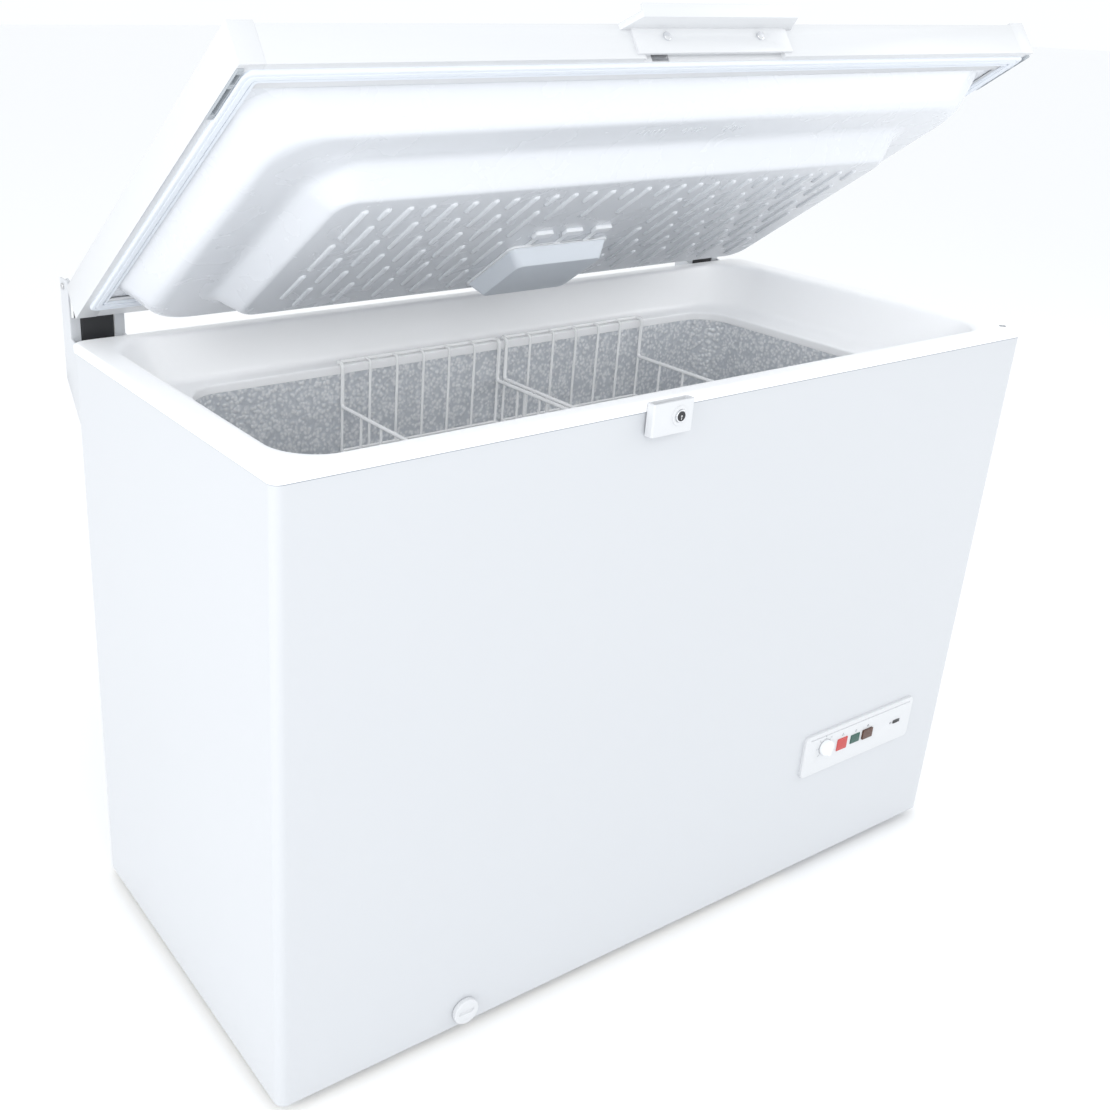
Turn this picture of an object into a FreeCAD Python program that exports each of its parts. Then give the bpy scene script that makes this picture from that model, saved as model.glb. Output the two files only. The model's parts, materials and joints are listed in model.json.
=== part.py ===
import FreeCAD, Part
import math
import os
from types import SimpleNamespace

import Sketcher

# Chest freezer, lid standing open. Millimetres, +Z up, front towards -Y, +X to the right of someone
# who stands in front of it. The origin is on the floor, midway between the left and right sides and
# midway between the lock barrel's face and the back of the hinges.
# The lid's pieces are drawn shut and then turned about the hinge pins by the rest angle.

DRIVING_SIZES = [
    # cabinet
    ("width", 1128, "over the steel sides"),
    ("depth", 508, "over the steel front and back"),
    ("shell_top", 765, "top edge of the steel, under the rim"),
    ("foot_height", 12, "floor to the base tray"),
    ("foot_radius", 17, "adjustable foot"),
    ("foot_inset", 60, "foot axis in from each side of the cabinet"),
    ("gauge", 0.8, "outer steel and back panel"),
    ("corner", 12, "upright corners of the steel"),
    ("base_gauge", 2, "base tray sheet"),
    ("base_shadow", 4, "base tray in from the outer steel"),
    ("back_return", 26, "steel folded round onto the back"),
    ("slot_low", 60, "first back slot above the base"),
    ("slot_pitch", 22, "between back slots"),
    ("slot_height", 8, "back slot"),
    ("slot_left", 60, "back slots in from the bay's left wall"),
    ("slot_right", 90, "back slots in from the right side"),
    ("grille_end", 60, "side opening in from the steel front and back"),
    ("grille_low", 40, "side opening above the base"),
    ("grille_high", 30, "side opening under the bay's roof"),
    ("grille_frame", 8, "grille over the steel round its opening"),
    ("grille_border", 12, "slats in from the opening"),
    ("grille_deep", 6, "grille behind the steel's outer face"),
    ("slat", 7, "between two grille slots"),
    # rim and collar
    ("rim_height", 12, "band above the steel"),
    ("rim_proud", 1.5, "band outside the steel"),
    ("rim_wall", 2.5, "moulded wall"),
    ("flange_side", 33, "flat top, left and right"),
    ("flange_front", 24, "flat top, front"),
    ("flange_back", 22, "flat top, back"),
    ("collar_drop", 62, "rim top down to the basket ledge"),
    ("taper_side", 33, "collar wall lean, left and right"),
    ("taper_end", 8, "collar wall lean, front and back"),
    ("collar_round", 60, "collar corners"),
    ("ledge_side", 47, "basket ledge, left and right"),
    ("ledge_end", 24, "basket ledge, front and back"),
    ("lip_drop", 12, "edge below the ledge that holds the liner"),
    ("mouth_round", 48, "liner corners"),
    # liner and machine bay
    ("liner_gauge", 0.8, "embossed aluminium"),
    ("liner_floor", 72, "top face of the liner floor"),
    ("bay_width", 300, "compressor bay in from the right side"),
    ("bay_top", 250, "roof of the bay"),
    ("bay_foam", 54, "foam between the bay and the liner step"),
    ("bay_gauge", 1.0, "bay lining sheet"),
    ("tube_radius", 4, "evaporator tube"),
    ("hot_tube_radius", 2.5, "condenser tube"),
    ("tube_gap", 1.0, "tube off the sheet it is taped to"),
    ("tube_pitch", 44, "between tube levels"),
    ("pot_radius", 68, "compressor pot"),
    ("pot_height", 165, "compressor pot"),
    ("pot_across", 150, "compressor pot in from the bay's left wall"),
    ("pot_behind", 290, "compressor pot behind the steel front"),
    ("pot_lift", 16, "compressor pot above the base"),
    ("pot_round", 34, "its shoulders"),
    ("bolt_x", 75, "pot's bolts, left and right of its middle"),
    ("bolt_y", 45, "pot's bolts, in front of and behind its middle"),
    ("bolt_edge", 13, "foot plate past the bolts"),
    ("bolt_radius", 4, "bolt holes"),
    ("plate_gauge", 3, "foot plate"),
    ("grommet_radius", 11, "rubber grommet"),
    ("relay_size", 48, "start relay box, front to back"),
    ("relay_deep", 38, "start relay box beside the pot"),
    ("drier_radius", 9.5, "filter drier"),
    ("drier_length", 90, "filter drier"),
    ("gland_radius", 13, "cord gland's flange"),
    ("gland_neck", 8.6, "cord gland's neck radius"),
    ("gland_bore", 4, "cord gland's bore radius"),
    # front fittings
    ("panel_width", 230, "control panel"),
    ("panel_height", 65, "control panel"),
    ("panel_margin", 78, "panel in from the right side"),
    ("panel_rise", 172, "floor to the panel's lower edge"),
    ("panel_proud", 4, "panel in front of the steel"),
    ("knob_radius", 11.5, "thermostat knob"),
    ("knob_height", 10, "thermostat knob"),
    ("knob_across", 42, "knob in from the panel's left end"),
    ("knob_rise", 40, "knob above the panel's lower edge"),
    ("signal_rise", 33, "lamps above the panel's lower edge"),
    ("shaft_radius", 3, "thermostat shaft"),
    ("fit_gap", 0.3, "running clearance round moving pieces"),
    ("plug_radius", 17.5, "drain plug"),
    ("plug_thick", 7, "drain plug"),
    ("plug_stem", 6.5, "drain plug stem radius"),
    ("plug_reach", 14, "drain plug stem length"),
    ("drain_margin", 254, "drain in from the left side"),
    ("drain_rise", 35.5, "floor to the drain's middle"),
    ("drain_wall", 1.5, "drain tube wall"),
    ("lock_offset", 77, "keyhole left of the middle"),
    ("lock_width", 59, "lock bracket"),
    ("lock_height", 37, "lock bracket"),
    ("lock_deep", 12.5, "lock bracket in front of the rim"),
    ("barrel_radius", 7, "lock barrel"),
    ("barrel_proud", 3, "lock barrel in front of its bracket"),
    ("hook_reach", 29, "lock hook from the barrel's middle"),
    # lid
    ("lid_gap", 4, "shut lid above the rim"),
    ("lid_thick", 38.6, "front face of the lid"),
    ("lid_front", 10, "shut lid past the steel front"),
    ("lid_back", 25, "shut lid past the steel back"),
    ("lid_inset", 6, "lid in from the steel sides"),
    ("cap_proud", 3, "side rails above the lid's top"),
    ("frame_wall", 2.5, "moulded wall of the lid frame"),
    ("frame_side", 26, "underside of the side rails"),
    ("frame_front", 38, "underside of the front rail"),
    ("frame_back", 50, "underside of the back rail"),
    ("lid_lip", 12, "front and back rails over the top sheet"),
    ("toe_deep", 10, "solid toe of the front rail"),
    ("toe_high", 14, "solid toe of the front rail"),
    ("door_wall", 1.6, "vacuum-formed lid liner"),
    ("tier_one", 36, "first step of the lid liner"),
    ("tier_one_side", 32, "lean of that step, sides"),
    ("tier_one_front", 24, "lean of that step, front"),
    ("tier_one_back", 5, "lean of that step, back"),
    ("tier_one_round", 54, "its corners at the flat"),
    ("plug_round", 50, "corners where the lid liner leaves the frame"),
    ("flat_side", 60, "flat between the steps, sides"),
    ("flat_front", 50, "flat between the steps, front"),
    ("flat_back", 34, "flat between the steps, back"),
    ("tier_two", 29, "second step"),
    ("tier_two_lean", 29, "lean of the second step"),
    ("tier_two_round", 22, "its corners"),
    ("rib_pitch", 27.5, "across the ribs"),
    ("rib_width", 7, "raised rib"),
    ("rib_rise", 1.6, "raised rib"),
    ("rib_run", 78, "rib and the gap after it"),
    ("rib_space", 13, "gap after a rib"),
    ("seal_width", 13, "gasket bead"),
    ("seal_height", 3.7, "gasket bead"),
    ("seal_inset", 8, "bead in from the lid's front and back line"),
    ("seal_lip", 4, "inner lip of the gasket"),
    ("handle_half", 112, "half the handle's length"),
    ("handle_flare", 13, "handle's ends past its lip, at the lid"),
    ("handle_wall", 3, "handle moulding"),
    ("handle_low", 4, "handle plate above the lid's underside"),
    ("handle_floor", 7, "scoop's underside below the lid's top"),
    ("handle_reach", 27, "handle lip in front of the lid"),
    ("handle_lean", 4, "lip's lean"),
    ("handle_rise", 6, "handle lip above the lid"),
    ("recess_high", 7, "finger recess under the handle"),
    ("recess_end", 10, "recess in from the handle's ends"),
    ("screw_offset", 68, "handle screws from the middle"),
    ("clip_length", 78, "grey buffer under a side rail"),
    ("clip_width", 6.5, "grey buffer"),
    # lamp in the lid
    ("lamp_shift", 20, "lamp left of the middle"),
    ("lamp_width", 156, "lamp base"),
    ("lamp_length", 112, "lamp base"),
    ("lamp_start", 296, "lamp base behind the lid's front"),
    ("lamp_depth", 20, "lamp cover under its base"),
    # hinges
    ("pin_behind", 48, "hinge pin behind the steel back"),
    ("pin_above", 68, "hinge pin above the steel top"),
    ("pin_radius", 4, "hinge pin"),
    ("knuckle", 10, "hinge bracket behind the pin's middle"),
    ("hinge_width", 70, "over the hinge cheeks"),
    ("hinge_inset", 10, "hinge in from the steel side"),
    ("hinge_drop", 125, "hinge plate below the steel top"),
    ("cheek", 2.5, "hinge sheet"),
    ("shelf", 13, "hinge bracket's inward flange"),
    ("open_angle", 35.2, "lid at rest, up from shut"),
    # baskets
    ("basket_length", 258, "basket, left to right"),
    ("basket_gap", 13, "between the two baskets at rest"),
    ("basket_shift", 222, "left basket's left end, left of the middle"),
    ("basket_deep", 200, "rail down to the basket floor"),
    ("basket_dip", 58, "end rails below the ledge rails"),
    ("basket_clear", 6, "basket wires in from the liner"),
    ("rail_radius", 2.6, "basket rim wire"),
    ("wire_radius", 1.9, "basket mesh wire"),
    ("wire_pitch", 43, "between basket wires"),
    ("belt_one", 62, "upper belt wire below the end rails"),
    ("belt_two", 118, "lower belt wire below the end rails"),
    ("corner_post", 57, "corner wires end above the basket floor"),
]

doc = FreeCAD.newDocument("ChestFreezer")
sheet = doc.addObject("Spreadsheet::Sheet", "Dims")
for row, (alias, value, meaning) in enumerate(DRIVING_SIZES, start=1):
    sheet.set(f"A{row}", str(value))
    sheet.setAlias(f"A{row}", alias)
    sheet.set(f"B{row}", meaning)
doc.recompute()

Vector = FreeCAD.Vector
Rotation = FreeCAD.Rotation
Placement = FreeCAD.Placement


class Size:
    """A length that carries its present value and the sheet expression behind it."""

    def __init__(self, value, text):
        self.value = float(value)
        self.text = text

    @staticmethod
    def of(other):
        return other if isinstance(other, Size) else Size(other, repr(float(other)))

    def _join(self, other, sign, value):
        return Size(value, f"({self.text} {sign} {other.text})")

    def __add__(self, other):
        other = Size.of(other)
        return self._join(other, "+", self.value + other.value)

    def __radd__(self, other):
        return Size.of(other) + self

    def __sub__(self, other):
        other = Size.of(other)
        return self._join(other, "-", self.value - other.value)

    def __rsub__(self, other):
        return Size.of(other) - self

    def __mul__(self, factor):
        return Size(self.value * factor, f"({self.text} * {float(factor)!r})")

    def __rmul__(self, factor):
        return self * factor

    def __truediv__(self, factor):
        return self * (1.0 / factor)

    def __neg__(self):
        return self * -1.0


d = SimpleNamespace(**{a: Size(sheet.get(a), f"Dims.{a}") for a, _, _ in DRIVING_SIZES})
nodes = []


def node(shape_object, label, placement=None):
    """Name a finished sub-part; its label is also its file name."""
    shape_object.Label = label
    if placement is not None:
        shape_object.Placement = placement
    nodes.append(shape_object)
    return shape_object


# --------------------------------------------------------------------------- sketch outlines

def bound(sketch, kind, name, size, *elements):
    index = sketch.addConstraint(Sketcher.Constraint(kind, *elements, size.value))
    sketch.renameConstraint(index, name)
    sketch.setExpression(f"Constraints.{name}", size.text)


def rounded(x0, x1, y0, y1, radius):
    """Outline: a rectangle with four equal round corners."""
    x0, x1, y0, y1, radius = (Size.of(v) for v in (x0, x1, y0, y1, radius))

    def draw(sketch):
        a, b, c, e, r = x0.value, x1.value, y0.value, y1.value, radius.value
        flat = Part.LineSegment

        def turn(cx, cy, start):
            circle = Part.Circle(Vector(cx, cy, 0), Vector(0, 0, 1), r)
            return Part.ArcOfCircle(circle, math.radians(start), math.radians(start + 90))

        sketch.addGeometry([
            flat(Vector(a + r, c, 0), Vector(b - r, c, 0)), turn(b - r, c + r, 270),
            flat(Vector(b, c + r, 0), Vector(b, e - r, 0)), turn(b - r, e - r, 0),
            flat(Vector(b - r, e, 0), Vector(a + r, e, 0)), turn(a + r, e - r, 90),
            flat(Vector(a, e - r, 0), Vector(a, c + r, 0)), turn(a + r, c + r, 180),
        ], False)
        ties = [Sketcher.Constraint("Tangent", i, 2, (i + 1) % 8, 1) for i in range(8)]
        ties += [Sketcher.Constraint("Horizontal", i) for i in (0, 4)]
        ties += [Sketcher.Constraint("Vertical", i) for i in (2, 6)]
        ties += [Sketcher.Constraint("Equal", 1, i) for i in (3, 5, 7)]
        sketch.addConstraint(ties)
        bound(sketch, "Radius", "round", radius, 1)
        bound(sketch, "DistanceX", "left", x0, -1, 1, 6, 1)
        bound(sketch, "DistanceX", "right", x1, -1, 1, 2, 1)
        bound(sketch, "DistanceY", "low", y0, -1, 1, 0, 1)
        bound(sketch, "DistanceY", "high", y1, -1, 1, 4, 1)
    return draw


def polygon(points):
    """Outline: straight sides through the given corners."""
    points = [(Size.of(x), Size.of(y)) for x, y in points]

    def draw(sketch):
        count = len(points)
        for i in range(count):
            here, there = points[i], points[(i + 1) % count]
            sketch.addGeometry(Part.LineSegment(Vector(here[0].value, here[1].value, 0),
                                                Vector(there[0].value, there[1].value, 0)), False)
        sketch.addConstraint([Sketcher.Constraint("Coincident", i, 2, (i + 1) % count, 1)
                              for i in range(count)])
        for i, (x, y) in enumerate(points):
            bound(sketch, "DistanceX", f"across{i}", x, -1, 1, i, 1)
            bound(sketch, "DistanceY", f"up{i}", y, -1, 1, i, 1)
    return draw


def rectangle(x0, x1, y0, y1):
    return polygon([(x0, y0), (x1, y0), (x1, y1), (x0, y1)])


def circle(x, y, radius):
    x, y, radius = Size.of(x), Size.of(y), Size.of(radius)

    def draw(sketch):
        sketch.addGeometry(Part.Circle(Vector(x.value, y.value, 0), Vector(0, 0, 1), radius.value),
                           False)
        bound(sketch, "Radius", "round", radius, 0)
        bound(sketch, "DistanceX", "across", x, -1, 1, 0, 3)
        bound(sketch, "DistanceY", "up", y, -1, 1, 0, 3)
    return draw


# --------------------------------------------------------------------------- features of a body

ROLES = {"XY": "XY_Plane", "XZ": "XZ_Plane", "YZ": "YZ_Plane"}


def new_body(name):
    return doc.addObject("PartDesign::Body", name)


def sketch_on(body, plane, place, outline):
    """A sketch on the body's own origin plane, moved to `place` along that plane's world axis."""
    sketch = body.newObject("Sketcher::SketchObject", body.Name + "_outline")
    support = [f for f in body.Origin.OriginFeatures if f.Role == ROLES[plane]][0]
    sketch.AttachmentSupport = [(support, "")]
    sketch.MapMode = "FlatFace"
    along = -Size.of(place) if plane == "XZ" else Size.of(place)
    sketch.AttachmentOffset = Placement(Vector(0, 0, along.value), Rotation())
    sketch.setExpression("AttachmentOffset.Base.z", along.text)
    outline(sketch)
    return sketch


def pad(body, plane, low, high, outline):
    """Add material between two places along the plane's world axis."""
    low, high = Size.of(low), Size.of(high)
    start = high if plane == "XZ" else low
    feature = body.newObject("PartDesign::Pad", body.Name + "_pad")
    feature.Profile = sketch_on(body, plane, start, outline)
    feature.Length = (high - low).value
    feature.setExpression("Length", (high - low).text)
    body.Tip = feature
    return feature


def pocket(body, plane, low, high, outline):
    """Remove material between two places along the plane's world axis."""
    low, high = Size.of(low), Size.of(high)
    start = low if plane == "XZ" else high
    feature = body.newObject("PartDesign::Pocket", body.Name + "_pocket")
    feature.Profile = sketch_on(body, plane, start, outline)
    feature.Length = (high - low).value
    feature.setExpression("Length", (high - low).text)
    body.Tip = feature
    return feature


def loft(body, kind, top, top_outline, bottom, bottom_outline):
    """Leaning walls between a top outline and a bottom one; kind is Additive or Subtractive."""
    upper = sketch_on(body, "XY", top, top_outline)
    lower = sketch_on(body, "XY", bottom, bottom_outline)
    feature = body.newObject(f"PartDesign::{kind}Loft", body.Name + "_loft")
    feature.Profile = upper
    feature.Sections = [lower]
    feature.Ruled = True
    body.Tip = feature
    return feature


def place_at(shape_object, x, y, z, rotation=None):
    at = [Size.of(v) for v in (x, y, z)]
    shape_object.Placement = Placement(Vector(*(v.value for v in at)), rotation or Rotation())
    for axis, v in zip("xyz", at):
        shape_object.setExpression(f"Placement.Base.{axis}", v.text)
    return shape_object


def box(name, x0, x1, y0, y1, z0, z1):
    block = doc.addObject("Part::Box", name)
    for prop, low, high in (("Length", x0, x1), ("Width", y0, y1), ("Height", z0, z1)):
        size = Size.of(high) - Size.of(low)
        setattr(block, prop, size.value)
        block.setExpression(prop, size.text)
    return place_at(block, x0, y0, z0)


TURNS = {"X": Rotation(Vector(0, 1, 0), 90), "Y": Rotation(Vector(-1, 0, 0), 90), "Z": Rotation()}


def rod(name, axis, x, y, z, length, radius):
    """A cylinder that starts at (x, y, z) and runs towards + along the named axis."""
    cylinder = doc.addObject("Part::Cylinder", name)
    for prop, size in (("Radius", Size.of(radius)), ("Height", Size.of(length))):
        setattr(cylinder, prop, size.value)
        cylinder.setExpression(prop, size.text)
    return place_at(cylinder, x, y, z, TURNS[axis])


def fuse(name, *pieces):
    joined = doc.addObject("Part::MultiFuse", name)
    joined.Shapes = list(pieces)
    joined.Refine = True
    return joined


def cut(name, base, *tools):
    tool = tools[0] if len(tools) == 1 else fuse(name + "_tools", *tools)
    result = doc.addObject("Part::Cut", name)
    result.Base = base
    result.Tool = tool
    return result


# --------------------------------------------------------------------------- bent wire and tube

def bent_path(points, bend, closed=False):
    """Straight runs joined by tangent arcs of radius `bend`."""
    points = [Vector(*p) for p in points]
    count = len(points)
    corners = range(count) if closed else range(1, count - 1)
    trims = {}
    for i in corners:
        here, before, after = points[i], points[i - 1], points[(i + 1) % count]
        a = (before - here).normalize()
        b = (after - here).normalize()
        half = a.getAngle(b) / 2
        if half > math.radians(89.9):
            continue
        reach = bend / math.tan(half)
        middle = (a + b).normalize()
        crown = here + middle * (bend / math.sin(half) - bend)
        trims[i] = (here + a * reach, crown, here + b * reach)
    edges = []
    for i in range(count if closed else count - 1):
        j = (i + 1) % count
        start = trims[i][2] if i in trims else points[i]
        end = trims[j][0] if j in trims else points[j]
        if (end - start).Length > 1e-6:
            edges.append(Part.LineSegment(start, end).toShape())
        if j in trims:
            edges.append(Part.Arc(*trims[j]).toShape())
    return Part.Wire(edges)


def pipe(points, radius, bend, closed=False):
    path = bent_path(points, bend, closed)
    first = path.Edges[0]
    start = first.valueAt(first.FirstParameter)
    heading = first.tangentAt(first.FirstParameter)
    ring = Part.Wire(Part.makeCircle(radius, start, heading))
    return path.makePipeShell([ring], True, True)


def tube(label, points, radius, bend, placement=None):
    feature = doc.addObject("Part::Feature", label)
    feature.Shape = pipe(points, radius, bend)
    return node(feature, label, placement)


# --------------------------------------------------------------------------- shared places

half_w = d.width / 2
ahead = d.rim_proud + d.lock_deep + d.barrel_proud
behind = d.pin_behind + d.knuckle
front_y = (ahead - behind - d.depth) / 2
back_y = (ahead - behind + d.depth) / 2
base_top = d.foot_height + d.base_gauge
rim_top = d.shell_top + d.rim_height
ledge_z = rim_top - d.collar_drop
mouth_z = ledge_z - d.lip_drop
collar_side = half_w - d.flange_side
collar_front = front_y + d.flange_front
collar_back = back_y - d.flange_back
foot_side = collar_side - d.taper_side
foot_front = collar_front + d.taper_end
foot_back = collar_back - d.taper_end
mouth_side = foot_side - d.ledge_side
mouth_front = foot_front + d.ledge_end
mouth_back = foot_back - d.ledge_end
bay_left = half_w - d.bay_width
step_left = bay_left - d.bay_foam
step_top = d.bay_top + d.bay_foam

lid_bottom = rim_top + d.lid_gap
lid_top = lid_bottom + d.lid_thick
lid_face = front_y - d.lid_front
lid_rear = back_y + d.lid_back
lid_side = half_w - d.lid_inset
rail_side = lid_side - d.frame_side
rail_front = lid_face + d.frame_front
rail_back = lid_rear - d.frame_back
frame_floor = lid_bottom + d.frame_wall
roof_z = lid_top - d.frame_wall

pin_y = back_y + d.pin_behind
pin_z = d.shell_top + d.pin_above


def lid_pose():
    """Turn about the hinge pins that carries the shut lid to its rest angle."""
    pin = Vector(0, pin_y.value, pin_z.value)
    turn = Rotation(Vector(-1, 0, 0), d.open_angle.value)
    return Placement(pin - turn.multVec(pin), turn)


LID = lid_pose()


def mouth_outline(grow=0.0):
    return rounded(-mouth_side - grow, mouth_side + grow, mouth_front - grow, mouth_back + grow,
                   d.mouth_round + grow)


def deep_outline(grow=0.0):
    """The liner below the step, left of the compressor bay."""
    return rounded(-mouth_side - grow, step_left + grow, mouth_front - grow, mouth_back + grow,
                   d.mouth_round + grow)


# --------------------------------------------------------------------------- cabinet shell

BACK_SLOTS = 6


def outer_wrap():
    """White steel round the left side, the front and the right side, folded onto the back."""
    body = new_body("wrap")
    pad(body, "XY", base_top, d.shell_top, rounded(-half_w, half_w, front_y, back_y, d.corner))
    inner = half_w - d.gauge
    pocket(body, "XY", base_top, d.shell_top,
           rounded(-inner, inner, front_y + d.gauge, back_y - d.gauge, d.corner - d.gauge))
    open_side = half_w - d.back_return
    pocket(body, "XZ", back_y - d.gauge * 2, back_y + 1,
           rectangle(-open_side, open_side, base_top - 1, d.shell_top + 1))
    pocket(body, "YZ", half_w - d.gauge * 2, half_w + 1, rectangle(*grille_window()))
    pocket(body, "XZ", front_y - 1, front_y + d.gauge * 2,
           circle(knob_x, knob_z, d.shaft_radius + 1))
    pocket(body, "XZ", front_y - 1, front_y + d.gauge * 2,
           circle(drain_x, d.drain_rise, drain_outer))
    return node(body, "outer_wrap")


def grille_window():
    return (front_y + d.grille_end, back_y - d.grille_end, base_top + d.grille_low,
            d.bay_top - d.grille_high)


def back_panel():
    body = new_body("back")
    side = half_w - d.gauge
    near = back_y - d.gauge * 2
    pad(body, "XZ", near, back_y - d.gauge,
        rounded(-side + d.corner, side - d.corner, base_top, d.shell_top, 2))
    pocket(body, "XZ", near - 1, back_y,
           circle(gland_x, gland_z, d.gland_neck + 0.4))
    for i in range(BACK_SLOTS):
        low = base_top + d.slot_low + i * d.slot_pitch
        pocket(body, "XZ", near - 1, back_y,
               rounded(bay_left + d.slot_left, half_w - d.slot_right, low, low + d.slot_height,
                       d.slot_height / 2 - 0.1))
    return node(body, "back_panel")


def base_tray():
    body = new_body("base")
    side = half_w - d.base_shadow
    pad(body, "XY", d.foot_height, base_top,
        rounded(-side, side, front_y + d.base_shadow, back_y - d.base_shadow, d.corner))
    for x in (pot_x - d.bolt_x, pot_x + d.bolt_x):
        for y in (pot_y - d.bolt_y, pot_y + d.bolt_y):
            pocket(body, "XY", d.foot_height - 1, base_top + 1, circle(x, y, d.bolt_radius))
    return node(body, "base_tray")


def feet():
    """Four adjustable feet, as one group."""
    pieces = []
    for i in (-1, 1):
        for j in (-1, 1):
            x = i * (half_w - d.foot_inset)
            y = front_y + d.foot_inset if j < 0 else back_y - d.foot_inset
            neck_z = d.foot_height - 3
            pieces.append(fuse(f"foot{i}{j}",
                               rod(f"foot_pad{i}{j}", "Z", x, y, 0, neck_z, d.foot_radius),
                               rod(f"foot_neck{i}{j}", "Z", x, y, neck_z, 3, d.foot_radius - 5)))
    return node(fuse("feet_group", *pieces), "feet")


# --------------------------------------------------------------------------- rim and liner

def rim_frame():
    """White moulding: the rounded band, the flat top, the deep collar and the basket ledge."""
    body = new_body("rim")
    side = half_w + d.rim_proud
    front = front_y - d.rim_proud
    back = back_y + d.rim_proud
    wall = d.rim_wall
    pad(body, "XY", d.shell_top, rim_top, rounded(-side, side, front, back, d.corner))
    pocket(body, "XY", d.shell_top, rim_top - wall,
           rounded(-side + wall, side - wall, front + wall, back - wall, d.corner - wall))
    top_out = rounded(-collar_side - wall, collar_side + wall, collar_front - wall,
                      collar_back + wall, d.collar_round + wall)
    low_out = rounded(-foot_side - wall, foot_side + wall, foot_front - wall, foot_back + wall,
                      d.collar_round + wall)
    loft(body, "Additive", rim_top - wall / 2, top_out, ledge_z - wall, low_out)
    pad(body, "XY", mouth_z, ledge_z - wall / 2, mouth_outline(wall))
    top_in = rounded(-collar_side, collar_side, collar_front, collar_back, d.collar_round)
    low_in = rounded(-foot_side, foot_side, foot_front, foot_back, d.collar_round)
    loft(body, "Subtractive", rim_top, top_in, ledge_z, low_in)
    pocket(body, "XY", mouth_z - 1, ledge_z + 1, mouth_outline())
    return node(body, "rim_frame")


def inner_liner():
    """Embossed aluminium tub, with a step over the compressor bay."""
    body = new_body("liner")
    g = d.liner_gauge
    pad(body, "XY", step_top - g, mouth_z, mouth_outline(g))
    pad(body, "XY", d.liner_floor - g, step_top, deep_outline(g))
    pocket(body, "XY", step_top, mouth_z + 1, mouth_outline())
    pocket(body, "XY", d.liner_floor, step_top + 1, deep_outline())
    pocket(body, "XY", d.liner_floor - g - 1, d.liner_floor + 1, circle(drain_x, drain_y, d.plug_stem))
    return node(body, "inner_liner")


def serpentine(x0, x1, y0, y1, low, high, pitch):
    """Round the front, left, back and right walls, turning back one level up each time."""
    points = []
    level = 0
    z = low
    while z <= high:
        turn_y = y0 + 90
        course = [(x1 - 60, y0, z), (x0, y0, z), (x0, y1, z), (x1, y1, z), (x1, turn_y, z)]
        points += course if level % 2 == 0 else course[::-1]
        level += 1
        z += pitch
    return points


def evaporator_tube():
    """Cold tube taped round the liner, above the step."""
    off = d.liner_gauge + d.tube_gap + d.tube_radius
    return tube("evaporator_tube",
                serpentine(-(mouth_side + off).value, (mouth_side + off).value,
                           (mouth_front - off).value, (mouth_back + off).value,
                           (step_top + 30).value, (mouth_z - 30).value, d.tube_pitch.value),
                d.tube_radius.value, min(d.mouth_round.value + 4, 0.45 * d.tube_pitch.value))


def condenser_tube():
    """Warm tube taped inside the outer steel."""
    off = d.gauge + d.tube_gap + d.hot_tube_radius
    return tube("condenser_tube",
                serpentine(-(half_w - off).value, (half_w - off).value,
                           (front_y + off).value, (back_y - off - d.gauge).value,
                           (d.bay_top + 50).value, (ledge_z - 40).value, d.tube_pitch.value * 1.5),
                d.hot_tube_radius.value, 0.45 * d.tube_pitch.value)


def foam_insulation(*channels):
    """Polyurethane between the steel and the liner, with the tube channels in it."""
    body = new_body("foam")
    side = half_w - d.gauge
    front = front_y + d.gauge
    back = back_y - d.gauge * 2
    grow = d.rim_wall - d.rim_proud
    pad(body, "XY", base_top, d.shell_top, rounded(-side, side, front, back, d.corner - d.gauge))
    pad(body, "XY", d.shell_top, rim_top - d.rim_wall,
        rounded(-half_w + grow, half_w - grow, front_y + grow, back_y - grow, d.corner - d.rim_wall))
    wall = d.rim_wall
    top_out = rounded(-collar_side - wall, collar_side + wall, collar_front - wall,
                      collar_back + wall, d.collar_round + wall)
    low_out = rounded(-foot_side - wall, foot_side + wall, foot_front - wall, foot_back + wall,
                      d.collar_round + wall)
    loft(body, "Subtractive", rim_top - wall / 2, top_out, ledge_z - wall, low_out)
    pocket(body, "XY", mouth_z, ledge_z, mouth_outline(wall))
    g = d.liner_gauge
    pocket(body, "XY", step_top - g, mouth_z, mouth_outline(g))
    pocket(body, "XY", d.liner_floor - g, step_top, deep_outline(g))
    pocket(body, "XZ", front_y - 1, back_y + 1,
           rectangle(bay_left - d.bay_gauge, half_w + 1, base_top - 1, d.bay_top + d.bay_gauge))
    return node(cut("foam_block", body, *channels), "foam_insulation")


def bay_lining():
    """Galvanised sheet: the bay's left wall and roof."""
    body = new_body("bay")
    g = d.bay_gauge
    front = front_y + d.gauge
    back = back_y - d.gauge * 2
    pad(body, "XY", d.bay_top, d.bay_top + g,
        rounded(bay_left - g, half_w - d.gauge, front, back, d.corner - d.gauge))
    pad(body, "XZ", front, back, rectangle(bay_left - g, bay_left, base_top, d.bay_top + g))
    pocket(body, "YZ", bay_left - g - 1, bay_left + 1, circle(suction_y, suction_z, suction_radius))
    return node(body, "bay_lining")


# --------------------------------------------------------------------------- machine bay

pot_x = bay_left + d.pot_across
pot_y = front_y + d.pot_behind
pot_bottom = base_top + d.pot_lift
suction_out = pot_bottom + 110
discharge_out = pot_bottom + 60
plate_low = pot_bottom - d.plate_gauge
drier_x = pot_x + 10
drier_y = pot_y + 110
drier_z = d.bay_top - 14
suction_y = pot_y + 40
suction_z = d.bay_top - 40
suction_radius = 4
gland_x = half_w - 60
gland_z = base_top + 60


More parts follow.
